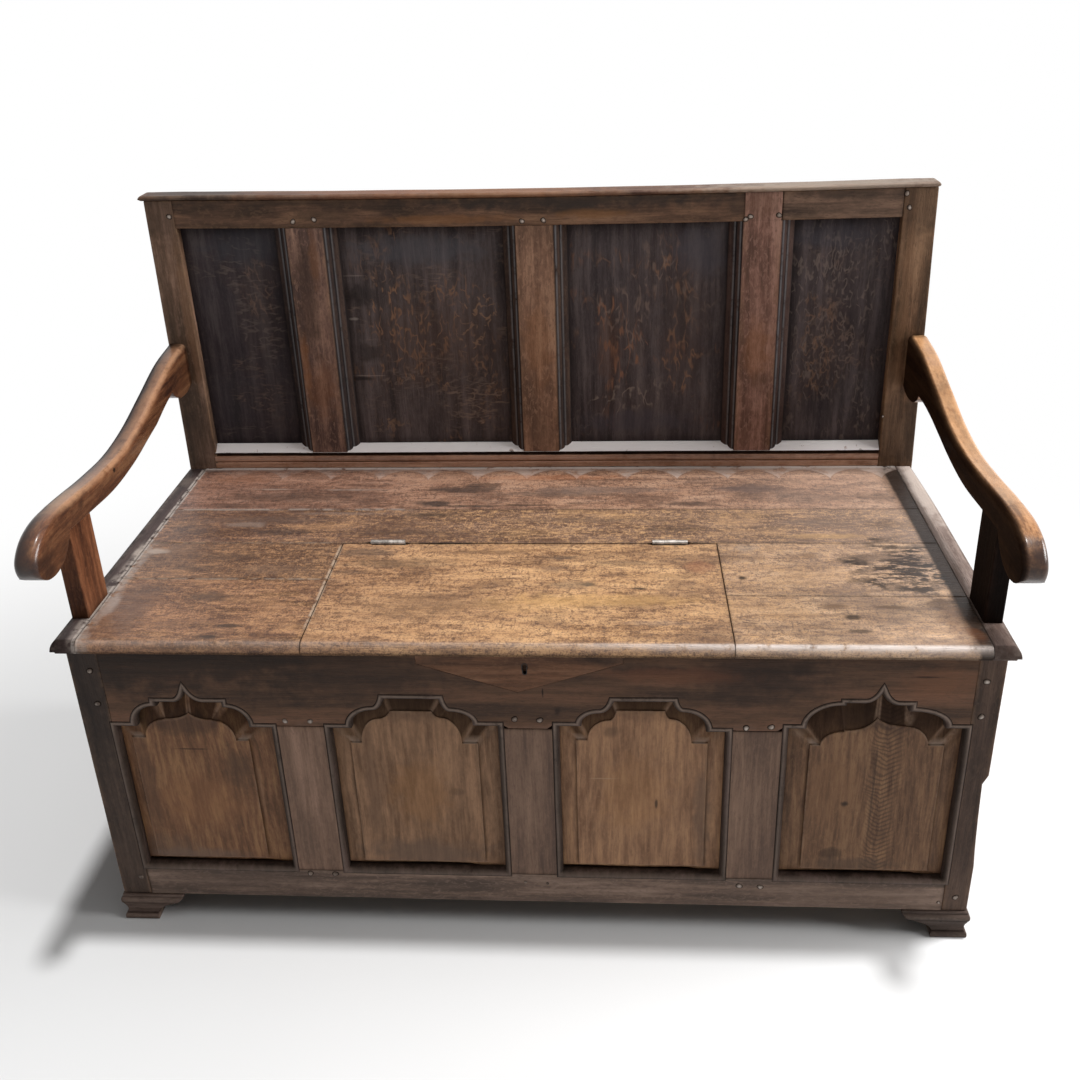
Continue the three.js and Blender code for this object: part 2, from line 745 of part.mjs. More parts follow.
/** Outline of a foot on one face: the moulded outer edge, the toe and the bracket. */
function footOutline(run) {
  const top = footHeight - touch;
  const mouldLow = footHeight - footMouldFall;
  const outline = [
    [run, top], [-footProud + noseSetBack / 2, top], [-footProud, (top + mouldLow) / 2],
    [-footProud + noseSetBack / 2, mouldLow], [footWaistIn - footProud, mouldLow - footBracketFall],
    [footWaistIn - footProud, footHeight - footBaseFall + noseSetBack / 2],
    [-footProud + noseSetBack / 2, footHeight - footBaseFall], [-footProud + noseSetBack / 2, 0],
    [footToeRun, 0], [footToeRun, footHeight - footBaseFall],
  ];
  const low = footHeight - footBaseFall;
  for (let i = 0; i <= footBracketSteps; i += 1) {
    const turn = (Math.PI / 2) * (i / footBracketSteps);
    const x = footToeRun + (run - footToeRun) * (1 - Math.cos(turn)) * lobeShareOfBracket;
    outline.push([x, low + (mouldLow - low) * Math.sin(turn)]);
  }
  outline.push([run, mouldLow + footMouldFall / 2]);
  return outline;
}

const lobeShareOfBracket = 0.62;

/** Foot under the left front corner: the front elevation crossed with the side elevation. */
function leftFoot() {
  const front = footOutline(footRun).map(([u, z]) => [u - halfWidth, z]);
  const across = alongY(front, -footProud - overrun, footReturn + overrun);
  const along = alongX(footOutline(footReturn), -halfWidth - footProud - overrun, -halfWidth + footRun + overrun);
  return across.intersect(along);
}

// Seat

/** Moulded front edge as seen from the side: [distance back from the front, height] pairs. */
function noseOutline() {
  const points = [[noseSetBack, seatUnderside], [noseSetBack, seatUnderside + noseFillet], [0, seatUnderside + noseFillet]];
  const rise = seatThickness - noseFillet;
  for (let i = 1; i <= noseSteps; i += 1) {
    const turn = (Math.PI / 2) * (i / noseSteps);
    points.push([rise * (1 - Math.cos(turn)) * noseRoundShare, seatUnderside + noseFillet + rise * Math.sin(turn)]);
  }
  return points;
}

const noseRoundShare = 0.7;
const seatFront = -seatOverhangFront;
const seatSide = halfWidth + seatOverhangSide;
const stripInner = seatSide - edgeStripWidth;
const middleBoardFront = lidRearEdge + lidRearGap;
const lidLeftEdge = -lidLeftShare * seatSide;
const lidRightEdge = lidRightShare * seatSide;

/** Seat board with a moulded front edge, from one x to another and back to one y. */
function frontBoard(x0, x1, back) {
  const outline = noseOutline().map(([back0, z]) => [seatFront + back0, z]);
  return alongX([...outline, [back, seatHeight], [back, seatUnderside]], x0, x1);
}

/** Plain seat board. */
function plainBoard(x0, x1, y0, y1) {
  return block(x0, x1, y0, y1, seatUnderside, seatHeight);
}

function seatRearBoard() {
  const wide = plainBoard(-stripInner + touch, stripInner - touch, rearBoardFront + touch, backPlane - touch);
  const tail = plainBoard(-postInner + touch, postInner - touch, backPlane - overrun, baseDepth - backRailSetIn);
  return wide.add(tail);
}

function seatMiddleBoard() {
  const body = plainBoard(-stripInner + touch, stripInner - touch, middleBoardFront, rearBoardFront);
  return cutAll(body, hingeMiddles.flatMap(hingePockets));
}

/** Edge strip along one end of the seat, moulded at its outer side and its front. */
function edgeStrip(side) {
  const nose = noseOutline();
  const length = alongX([
    ...nose.map(([back, z]) => [seatFront + back, z]),
    [backPlane - touch, seatHeight], [backPlane - touch, seatUnderside],
  ], stripInner, seatSide);
  const across = alongY([
    ...nose.map(([back, z]) => [seatSide - back, z]),
    [stripInner, seatHeight], [stripInner, seatUnderside],
  ], seatFront - overrun, backPlane);
  const strip = length.intersect(across);
  return cutAll(side > 0 ? strip : mirrored(strip), [supportFootSocket(side)]);
}

function lid() {
  const board = frontBoard(lidLeftEdge + lidSideGap, lidRightEdge - lidSideGap, lidRearEdge);
  return cutAll(board, hingeMiddles.flatMap(hingePockets));
}

// Bearers under the ends of the lid

/** Middle of the bearer under one end of the lid. */
function bearerMiddle(side) {
  return side < 0 ? lidLeftEdge : lidRightEdge;
}

/** Tenon or mortise at an end of a bearer. */
function bearerTenonBlock(middle, y0, y1, room = 0) {
  const half = bearerWidth / 2 - tenonShoulder / 2 + room;
  const low = seatUnderside - bearerHeight + tenonShoulder - room;
  return block(middle - half, middle + half, y0, y1, low, seatUnderside - tenonShoulder + room);
}

function seatBearer(side) {
  const middle = bearerMiddle(side);
  const half = bearerWidth / 2;
  const body = block(middle - half, middle + half, frontThickness + touch, baseBackFront - touch,
    seatUnderside - bearerHeight, seatUnderside - touch);
  const front = bearerTenonBlock(middle, frontThickness - bearerTenon, frontThickness + overrun);
  const back = bearerTenonBlock(middle, baseBackFront - overrun, baseBackFront + bearerTenon);
  return joinAll([body, front, back]);
}

// Butt hinges

const hingeY = lidRearEdge + lidRearGap / 2;
const hingeZ = seatHeight + knuckleRise;
const hingeMiddles = [lidLeftEdge + hingeInset, lidRightEdge - hingeInset];
const knuckleFloor = hingeZ - knuckleRadius - touch;
const leafLow = knuckleFloor - leafHeight;

/** Cylinder along X about the hinge's axis. */
function alongHinge(radius, x0, x1) {
  const geometry = new THREE.CylinderGeometry(radius, radius, x1 - x0, knuckleSides);
  geometry.rotateZ(Math.PI / 2);
  geometry.translate((x0 + x1) / 2, hingeY, hingeZ);
  return solid(geometry);
}

/** Pockets for one hinge in the two edges that it joins. */
function hingePockets(middle) {
  const half = hingeLength / 2 + touch;
  const reach = knuckleRadius + touch * 2;
  const leafReach = lidRearGap / 2 + leafThickness + touch;
  return [
    block(middle - half, middle + half, hingeY - reach, hingeY + reach, knuckleFloor, seatHeight + overrun),
    block(middle - half, middle + half, hingeY - leafReach, hingeY + leafReach, leafLow - touch, seatHeight),
  ];
}

/** One leaf of a hinge: direction -1 is the lid's, with the middle knuckle, and 1 the seat's. */
function hingeLeaf(middle, direction) {
  const near = hingeY + direction * (lidRearGap / 2 + touch / 3);
  const far = near + direction * leafThickness;
  const [y0, y1] = [Math.min(near, far), Math.max(near, far)];
  const half = hingeLength / 2;
  const inner = middleKnuckle / 2;
  const plate = block(middle - half, middle + half, y0, y1, leafLow, knuckleFloor);
  const spans = direction < 0
    ? [[middle - inner, middle + inner]]
    : [[middle - half, middle - inner - touch], [middle + inner + touch, middle + half]];
  const wraps = spans.map(([x0, x1]) => block(x0, x1, y0, y1, knuckleFloor - touch, hingeZ));
  const knuckles = spans.map(([x0, x1]) => alongHinge(knuckleRadius, x0, x1));
  const leaf = joinAll([plate, ...wraps, ...knuckles]);
  if (direction < 0) {
    return leaf.subtract(alongHinge(pinBoreRadius, middle - half, middle + half));
  }
  return leaf.add(alongHinge(pinRadius, middle - half, middle + half));
}

// Lock behind the keyhole

const lockTop = seatUnderside - lockTopGap;
const lockFront = frontThickness + touch;
const boltLow = lockTop - boltSeatBelowTop;
const stapleMiddle = stapleSetBack + stapleWidth / 2;
const boltFront = stapleMiddle - boltThickness / 2;

function lockCase() {
  const low = lockTop - lockHeight;
  const back = lockFront + lockDepth;
  const shell = block(-lockHalfWidth, lockHalfWidth, lockFront, back, low, lockTop);
  const hollow = block(-lockHalfWidth + lockWall, lockHalfWidth - lockWall, lockFront + lockWall, back - lockWall,
    low + lockWall, lockTop - lockWall);
  const slot = block(-stapleSlotHalfWidth, stapleSlotHalfWidth, stapleSetBack - stapleSlotFrontRoom,
    stapleSetBack + stapleWidth + stapleSlotBackRoom, lockTop - lockWall - overrun, lockTop + overrun);
  const guideEdges = [
    -lockHalfWidth + lockWall, -boltTipSetBack - 2 * guideWidth, boltTipSetBack + guideWidth,
  ];
  const guides = guideEdges.map((x0) => (
    block(x0, x0 + guideWidth, lockFront + lockWall / 2, back - lockWall / 2, low + lockWall / 2, boltLow - touch)));
  const open = cutAll(shell, [hollow]);
  return cutAll(joinAll([open, ...guides]), [slot, keyhole(-overrun, lockFront + lockWall + overrun)]);
}

function lockBolt() {
  const x1 = -boltTipSetBack;
  const x0 = x1 - boltLength;
  const bar = block(x0, x1, boltFront, boltFront + boltThickness, boltLow, boltLow + boltHeight);
  const talonX = x0 + boltLength / 2;
  const talon = block(talonX, talonX + boltTalonWidth, boltFront - overrun, boltFront + boltThickness + overrun,
    boltLow - overrun, boltLow + boltTalonHeight);
  return bar.subtract(talon);
}

/** Staple under the lid, whose eye takes the bolt. */
function lidStaple() {
  const y0 = stapleMiddle - staplePlateDepth / 2;
  const plate = block(-staplePlateHalfWidth, staplePlateHalfWidth, y0, y0 + staplePlateDepth,
    seatUnderside - touch - staplePlateThickness, seatUnderside - touch);
  const half = stapleThickness / 2;
  const lug = block(-half, half, stapleSetBack, stapleSetBack + stapleWidth,
    seatUnderside - stapleLength - touch, seatUnderside - touch - staplePlateThickness / 2);
  const eye = block(-half - overrun, half + overrun, boltFront - stapleEyeRoom,
    boltFront + boltThickness + stapleEyeRoom, boltLow - stapleEyeRoom, boltLow + boltHeight + stapleEyeRoom);
  return plate.add(lug).subtract(eye);
}

// Panelled back

/** Profile of the sill rail from the side: face, chamfer and a quirk above the bead. */
function sillOutline(room = 0) {
  const y = (depth) => backPlane + depth - room;
  const faceTop = seatHeight + backRailFace + room;
  const outline = [[y(0), seatHeight + touch]];
  if (room === 0) {
    outline.push([y(0), seatHeight + backQuirkHeight - backQuirkWidth], [y(backQuirkDepth), seatHeight + backQuirkHeight]);
    outline.push([y(0), seatHeight + backQuirkHeight]);
  }
  outline.push([y(0), faceTop], [y(backRailChamferDepth), sillTop + room]);
  const back = backPlane + backFrameThickness + (room > 0 ? overrun : 0);
  return [...outline, [back, sillTop + room], [back, seatHeight + touch]];
}

const backMuntins = backMuntinPlaceShares.map((share) => share * postInner);
const [leftMuntinCentre, middleMuntinCentre, rightMuntinCentre] = backMuntins;
const backMuntinHalf = backMuntinFace / 2;

/** Tenon or mortise at an end of a back muntin. */
function backMuntinTenon(middle, z0, z1, room = 0) {
  const half = backMuntinHalf - tenonShoulder / 2 + room;
  return block(middle - half, middle + half, backTenonFront - room, backTenonFront + backTenonThickness + room, z0, z1);
}

const backTenonReach = 24;

function backBottomRail() {
  const body = alongX(sillOutline(), -postInner + touch, postInner - touch);
  const groove = backPanelSlot(-halfWidth, halfWidth, sillTop - grooveDepth, sillTop + overrun);
  const sockets = backMuntins.map((middle) => (
    backMuntinTenon(middle, sillTop - backTenonReach - mortiseRoom, sillTop + overrun, touch)));
  const [y0, z0, z1] = postTenons[1];
  const tenons = [-1, 1].map((side) => postTenon(side, postInner - overrun, y0, z0, z1));
  return joinAll([cutAll(body, [groove, ...sockets]), ...tenons]);
}

/** Half of a back muntin's section: the face, the edge moulding and the groove. */
function backMuntinHalfSection() {
  const half = backMouldWidth + backMuntinHalf;
  const slotFront = backPlane + backPanelFront - touch;
  const slotBack = backPlane + backPanelBack + touch;
  const section = mouldWidthShares.map((share, i) => [
    backMuntinHalf + share * backMouldWidth, backPlane + mouldDepthShares[i] * backMouldDepth,
  ]);
  return [
    ...section, [half, slotFront], [half - grooveDepth, slotFront], [half - grooveDepth, slotBack],
    [half, slotBack], [half, backPlane + backFrameThickness],
  ];
}

/** Back muntin, stopped under the top rail or run up between its two lengths. */
function backMuntin(middle, full) {
  const half = backMuntinHalfSection();
  const outline = [...half, ...half.map(([x, y]) => [-x, y]).reverse()];
  const body = alongZ(shifted(outline, middle), seatHeight + backRailFace - touch, upperRailLow - touch);
  const sill = alongX(sillOutline(touch), -halfWidth, halfWidth);
  const foot = backMuntinTenon(middle, sillTop - backTenonReach, sillTop + overrun);
  const shaped = body.subtract(sill).add(foot);
  if (!full) {
    return shaped.add(backMuntinTenon(middle, upperRailLow - overrun, upperRailLow + backTenonReach));
  }
  const head = block(middle - backMuntinHalf, middle + backMuntinHalf, backPlane, backPlane + backFrameThickness,
    upperRailLow - overrun, postHeight - touch);
  const sockets = [-1, 1].map((side) => topRailTenonAt(middle + side * backMuntinHalf, -side, touch));
  return cutAll(shaped.add(head), sockets);
}

/** Tenon of a top rail at one end; direction points out of the rail, into what it enters. */
function topRailTenonAt(x, direction, room = 0) {
  const [y0, z0, z1] = postTenons[0];
  const reach = x + direction * (shortTenonLength + (room > 0 ? mortiseRoom : 0));
  const from = x - direction * overrun;
  return block(Math.min(from, reach), Math.max(from, reach), y0 - room, y0 + backTenonThickness + room,
    z0 - room, z1 + room);
}

const shortTenonLength = 20;

/** One of the two lengths of the top rail, between a post and the full-height muntin. */
function backTopRail(x0, x1, postSide) {
  const body = block(x0, x1, backPlane, backPlane + backFrameThickness, upperRailLow, postHeight - touch);
  const groove = backPanelSlot(-halfWidth, halfWidth, upperRailLow - overrun, upperRailLow + grooveDepth);
  const sockets = [leftMuntinCentre, middleMuntinCentre].map((middle) => (
    backMuntinTenon(middle, upperRailLow - overrun, upperRailLow + backTenonReach + mortiseRoom, touch)));
  const [y0, z0, z1] = postTenons[0];
  const intoPost = postTenon(postSide, postInner - overrun, y0, z0, z1);
  const intoMuntin = topRailTenonAt(postSide < 0 ? x1 : x0, -postSide);
  return joinAll([cutAll(body, [groove, ...sockets]), intoPost, intoMuntin]);
}

/** The four panels of the back, from the edges of what stands either side of them. */
function backPanelEdges() {
  const half = backMuntinHalf + backMouldWidth;
  const left = [-postInner, ...backMuntins.map((middle) => middle + half)];
  const right = [...backMuntins.map((middle) => middle - half), postInner];
  return left.map((x0, i) => [x0, right[i]]);
}

function backPanel(index) {
  const [x0, x1] = backPanelEdges()[index];
  return block(x0 - tongueDepth, x1 + tongueDepth, backPlane + backPanelFront, backPlane + backPanelBack,
    sillTop - tongueDepth, upperRailLow + tongueDepth);
}

/** Round-edged section of the cap between two edges. */
function capSection(low, high) {
  const radius = capThickness / 2;
  const middle = postHeight + radius;
  const points = [];
  for (let i = 0; i <= capSteps; i += 1) {
    const turn = Math.PI * (i / capSteps);
    points.push([high - radius + radius * Math.sin(turn), middle - radius * Math.cos(turn)]);
  }
  for (let i = 0; i <= capSteps; i += 1) {
    const turn = Math.PI * (i / capSteps);
    points.push([low + radius - radius * Math.sin(turn), middle + radius * Math.cos(turn)]);
  }
  return points;
}

function backCap() {
  const reach = halfWidth + capEndProud;
  const length = alongX(capSection(backPlane - capProud, baseDepth), -reach, reach);
  const across = alongY(capSection(-reach, reach), backPlane - capProud, baseDepth);
  return length.intersect(across);
}

// Arms

const armOuter = halfWidth + armProud;
const armTopAtPost = seatHeight + armRiseAtPost;
const armLowTop = seatHeight + armRiseLow;
const armNoseTop = seatHeight + armRiseNose;
const armNoseBottom = seatHeight + armRiseNoseUnder;
const armUndersideAtSupport = seatHeight + armRiseUnder;
const armHeelBottom = seatHeight + armRiseHeelUnder;
const armHeelCusp = seatHeight + armRiseHeelCusp;
const supportBack = supportFront + supportWidth;

/** Smooth curve through [y, z] pairs, with so many steps between neighbours. */
function smoothThrough(points) {
  const curve = new THREE.SplineCurve(points.map(([y, z]) => new THREE.Vector2(y, z)));
  return curve.getPoints(armCurveSteps * (points.length - 1)).map(({ x, y }) => [x, y]);
}

/** Places along the arm, as shares of the way from the post to the front of the support. */
function armAt(share) {
  return backPlane - share * (backPlane - supportFront);
}

const armTopPlaceShares = [0, 0.14, 0.3, 0.46, 0.62, 0.78, 0.92];
const armTopHeightShares = [1, 0.86, 0.52, 0.18, 0, 0.02, 0.1];
const armUnderPlaceShares = [1, 0.86, 0.7, 0.55, 0.4, 0.26];
const armUnderHeightShares = [0, -0.22, -0.38, -0.16, 0.36, 0.84];

/** Top of the arm, from the post to the nose. */
function armTopPoints() {
  const fall = armTopAtPost - armLowTop;
  const run = armTopPlaceShares.map((share, i) => [armAt(share), armLowTop + armTopHeightShares[i] * fall]);
  return [...run, [0, armNoseTop]];
}

/** Nose of the arm, rolled down in front of the support. */
function armNosePoints() {
  const height = armNoseTop - armNoseBottom;
  return [
    [0, armNoseTop], [-armNoseReach * noseShoulderShare, armNoseTop - height * noseShoulderFallShare],
    [-armNoseReach, armNoseTop - height * noseTipShare],
    [-armNoseReach * noseUnderShare, armNoseBottom + height * noseUnderRiseShare],
    [-armNoseReach * noseRollShare, armNoseBottom],
    [supportFront * noseBackShare, armNoseBottom + height * noseBackRiseShare],
    [supportFront, armUndersideAtSupport],
  ];
}

const noseShoulderShare = 0.66;
const noseShoulderFallShare = 0.14;
const noseTipShare = 0.5;
const noseUnderShare = 0.86;
const noseUnderRiseShare = 0.18;
const noseRollShare = 0.33;
const noseBackShare = 0.5;
const noseBackRiseShare = 0.2;

/** Underside of the arm, from the support back to the cusp before the heel. */
function armUnderPoints() {
  const rise = armHeelCusp - armUndersideAtSupport;
  return armUnderPlaceShares.map((share, i) => (
    [armAt(share), armUndersideAtSupport + armUnderHeightShares[i] * rise])).concat([[armCuspAt, armHeelCusp]]);
}

const armCuspShare = 0.17;
const heelLowShare = 0.07;
const armCuspAt = armAt(armCuspShare);

/** Rounded heel of the arm against the post. */
function armHeelPoints() {
  return [[armCuspAt, armHeelCusp], [armAt(heelLowShare * 2), armHeelBottom + (armHeelCusp - armHeelBottom) / 3],
    [armAt(heelLowShare), armHeelBottom], [backPlane - touch, armHeelBottom + (armHeelCusp - armHeelBottom) / 3]];
}

/** Side view of the arm as [y, z] pairs. */
function armOutline() {
  const top = smoothThrough(armTopPoints());
  const nose = smoothThrough(armNosePoints()).slice(1);
  const under = smoothThrough(armUnderPoints()).slice(1);
  const heel = smoothThrough(armHeelPoints()).slice(1);
  top[0][0] = backPlane - touch;
  return [...top, ...nose, ...under, ...heel];
}

/** Tenon of the arm in its post, or the socket for it. */
function armTenon(side, room = 0) {
  const middle = armOuter - armThickness / 2;
  const half = armTenonThickness / 2 + room;
  const low = armHeelCusp - room;
  const high = armLowTop + (armTopAtPost - armLowTop) / 2 + room;
  const reach = backPlane + armTenonLength + (room > 0 ? mortiseRoom : 0);
  const tenon = block(middle - half, middle + half, backPlane - overrun * 2, reach, low, high);
  return side > 0 ? tenon : mirrored(tenon);
}

/** Socket in the post for the arm's tenon. */
function armSocket(side) {
  return armTenon(side, touch);
}

const supportMiddleY = supportFront + supportWidth / 2;
const supportMiddleX = armOuter - armThickness / 2;

/** Tenon on the support, or the socket for it, over one range of height. */
function supportTenon(side, z0, z1, room = 0) {
  const halfX = supportTenonThickness / 2 + room;
  const halfY = supportTenonWidth / 2 + room;
  const tenon = block(supportMiddleX - halfX, supportMiddleX + halfX, supportMiddleY - halfY, supportMiddleY + halfY, z0, z1);
  return side > 0 ? tenon : mirrored(tenon);
}

/** Socket for the support's foot, through the edge strip and into the side rail below it. */
function supportFootSocket(side) {
  return supportTenon(side, seatHeight - supportFootTenon - mortiseRoom, seatHeight + overrun, touch);
}

function arm(side) {
  const shape = new THREE.Shape(armOutline().map(([y, z]) => new THREE.Vector2(y, z)));
  const geometry = new THREE.ExtrudeGeometry(shape, {
    depth: armThickness - 2 * armRound,
    bevelThickness: armRound,
    bevelSize: armRound,
    bevelOffset: -armRound,
    bevelSegments: armRoundSteps,
  });
  geometry.rotateY(Math.PI / 2);
  geometry.rotateX(Math.PI / 2);
  geometry.translate(armOuter - armThickness + armRound, 0, 0);
  const body = solid(geometry);
  const turned = side > 0 ? body : mirrored(body);
  const high = armUndersideAtSupport + supportTopTenon + mortiseRoom;
  const socket = supportTenon(side, armNoseBottom, high, touch);
  return turned.add(armTenon(side)).subtract(socket);
}

/** Height on a run of [y, z] pairs at one y, where y grows along the run. */
function heightAt(run, y) {
  const next = run.findIndex(([at]) => at > y);
  const [y0, z0] = run[next - 1];
  const [y1, z1] = run[next];
  return z0 + (z1 - z0) * ((y - y0) / (y1 - y0));
}

function armSupport(side) {
  const half = supportThickness / 2;
  const under = smoothThrough(armUnderPoints());
  const kept = under.filter(([y]) => y < supportBack);
  const top = [...kept, [supportBack, heightAt(under, supportBack)]].map(([y, z]) => [y, z - touch]);
  const outline = [[supportFront, seatHeight + touch], [supportBack, seatHeight + touch], ...top.reverse()];
  const body = alongX(outline, supportMiddleX - half, supportMiddleX + half);
  const turned = side > 0 ? body : mirrored(body);
  const head = supportTenon(side, seatHeight + overrun, armUndersideAtSupport + supportTopTenon);
  const foot = supportTenon(side, seatHeight - supportFootTenon, seatHeight + overrun);
  return joinAll([turned, head, foot]);
}

// Assembly

const [sideTopTenon, sideBottomTenon] = sideRailTenons;

place('front_left_stile', frontStile(-halfWidth, leftInner), 'frame');
place('front_right_stile', frontStile(halfWidth, rightInner), 'frame');
place('front_top_rail', frontTopRail(), 'frame');
place('front_bottom_rail', frontBottomRail(), 'frame');
place('lock_patch', lockPatch(), 'frame');
['left', 'middle', 'right'].forEach((word, index) => {
  place(`front_${word}_muntin`, frontMuntin(index), 'frame');
});
openingWidthShares.forEach((_, index) => {
  place(`front_panel_${index + 1}`, frontPanel(index), 'panel');
});
for (const [word, side] of [['left', -1], ['right', 1]]) {
  place(`rear_${word}_post`, rearPost(side), 'back');
  place(`${word}_side_top_rail`, sideRail(side, sideTopRailLow, seatUnderside, sideTopTenon), 'frame');
  place(`${word}_side_bottom_rail`, sideRail(side, footHeight, sideBottomRailHigh, sideBottomTenon), 'frame');
  place(`${word}_side_panel`, sidePanel(side), 'panel');
  place(`front_${word}_foot`, side < 0 ? leftFoot() : mirrored(leftFoot()), 'frame');
  place(`seat_${word}_edge_strip`, edgeStrip(side), 'seat');
  place(`seat_${word}_bearer`, seatBearer(side), 'inside');
  place(`${word}_arm`, arm(side), 'arm');
  place(`${word}_arm_support`, armSupport(side), 'arm');
}
place('base_back_top_rail', baseBackRail(sideTopRailLow, seatUnderside, postTenons[2]), 'inside');
place('base_back_bottom_rail', baseBackRail(footHeight, sideBottomRailHigh, postTenons[3]), 'inside');
place('base_back_panel', baseBackPanel(), 'inside');

const floorFront = frontThickness - tongueDepth;
const floorBack = baseBackFront + tongueDepth;
const floorMiddle = (floorFront + floorBack) / 2;
place('floor_front_board', floorBoard(floorFront, floorMiddle), 'inside');
place('floor_rear_board', floorBoard(floorMiddle + touch, floorBack), 'inside');

const leftRun = [-stripInner + touch, lidLeftEdge];
const rightRun = [lidRightEdge, stripInner - touch];
const rearRun = [middleBoardFront - touch];
place('seat_rear_board', seatRearBoard(), 'seat');
place('seat_middle_board', seatMiddleBoard(), 'seat');
place('seat_left_front_board', frontBoard(...leftRun, leftBoardJoint), 'seat');
place('seat_left_rear_board', plainBoard(...leftRun, leftBoardJoint + touch, ...rearRun), 'seat');
place('seat_right_front_board', frontBoard(...rightRun, rightBoardJoint), 'seat');
place('seat_right_rear_board', plainBoard(...rightRun, rightBoardJoint + touch, ...rearRun), 'seat');
place('lid', lid(), 'seat');
['left', 'right'].forEach((word, index) => {
  place(`${word}_hinge_seat_leaf`, hingeLeaf(hingeMiddles[index], 1), 'iron');
  place(`${word}_hinge_lid_leaf`, hingeLeaf(hingeMiddles[index], -1), 'iron');
});
place('lock_case', lockCase(), 'iron');
place('lock_bolt', lockBolt(), 'iron');
place('lid_staple', lidStaple(), 'iron');

place('back_bottom_rail', backBottomRail(), 'back');
place('back_left_muntin', backMuntin(leftMuntinCentre, false), 'back');
place('back_middle_muntin', backMuntin(middleMuntinCentre, false), 'back');
place('back_right_muntin', backMuntin(rightMuntinCentre, true), 'back');
const fullLeft = rightMuntinCentre - backMuntinHalf - touch;
const fullRight = rightMuntinCentre + backMuntinHalf + touch;
place('back_top_rail_long', backTopRail(-postInner + touch, fullLeft, -1), 'back');
place('back_top_rail_short', backTopRail(fullRight, postInner - touch, 1), 'back');
for (let index = 0; index < backMuntins.length + 1; index += 1) {
  place(`back_panel_${index + 1}`, backPanel(index), 'dark');
}
place('back_cap', backCap(), 'back');

export default settle;
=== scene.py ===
# Oak box settle: a joined chest with a lid in its seat, a panelled back and two shaped arms.
import math

import bmesh
import bpy
import numpy as np
from mathutils import Matrix, Vector


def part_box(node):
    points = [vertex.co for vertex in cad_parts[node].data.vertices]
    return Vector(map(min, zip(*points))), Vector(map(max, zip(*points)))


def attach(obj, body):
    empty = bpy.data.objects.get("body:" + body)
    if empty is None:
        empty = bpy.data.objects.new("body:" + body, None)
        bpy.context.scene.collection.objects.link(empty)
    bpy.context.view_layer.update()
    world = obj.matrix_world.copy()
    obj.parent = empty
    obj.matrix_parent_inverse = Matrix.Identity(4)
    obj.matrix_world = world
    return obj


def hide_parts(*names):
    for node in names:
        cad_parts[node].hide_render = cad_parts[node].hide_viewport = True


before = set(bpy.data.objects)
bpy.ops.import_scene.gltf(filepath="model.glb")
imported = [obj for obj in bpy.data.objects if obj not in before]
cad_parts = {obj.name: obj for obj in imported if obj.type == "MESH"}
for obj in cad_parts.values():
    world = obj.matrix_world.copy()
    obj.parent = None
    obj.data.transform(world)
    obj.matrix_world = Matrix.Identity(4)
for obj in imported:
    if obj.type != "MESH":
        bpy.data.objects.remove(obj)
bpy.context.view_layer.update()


# ---- Front stiles -------------------------------------------------------------------------------
# The two front stiles stand at the corners of the chest, and the rails are tenoned into them. They
# are riven oak, darkened to umber by smoke and wax, with the arrises rubbed round. The right one has
# lost a long splinter from its outer edge.

MM = 0.001
FRONT_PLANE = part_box("front_top_rail")[0].y
AXES = {"x": (1, 2, 0), "y": (2, 0, 1), "z": (0, 1, 2)}


def span(node):
    """Lowest and highest corner of a piece of the frame, in millimetres from the middle of the
    chest's front face on the floor."""
    low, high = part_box(node)
    shift = np.array([0.0, FRONT_PLANE, 0.0])
    return (np.array(low) - shift) / MM, (np.array(high) - shift) / MM


def wander(points, shortest, longest, seed):
    """Slow unevenness: the mean of five sine waves that cross space in different directions, each
    with its own wavelength between the shortest and the longest, so that it stays within one."""
    draws = np.random.default_rng(seed)
    total = np.zeros(points.shape[:-1])
    for _ in range(5):
        direction = draws.normal(size=3)
        direction /= np.linalg.norm(direction)
        wavelength = draws.uniform(shortest, longest)
        total += np.sin(points @ direction * 2 * math.pi / wavelength + draws.uniform(0, 2 * math.pi))
    return total / 5


def hand_worked(points, amount=0.35):
    """The points moved along each axis by a slow unevenness that is one field for the whole
    settle, so that pieces which touch stay in touch."""
    moved = points.copy()
    for axis in range(3):
        moved[..., axis] += amount * wander(points, 90, 420, 11 + axis)
    return moved


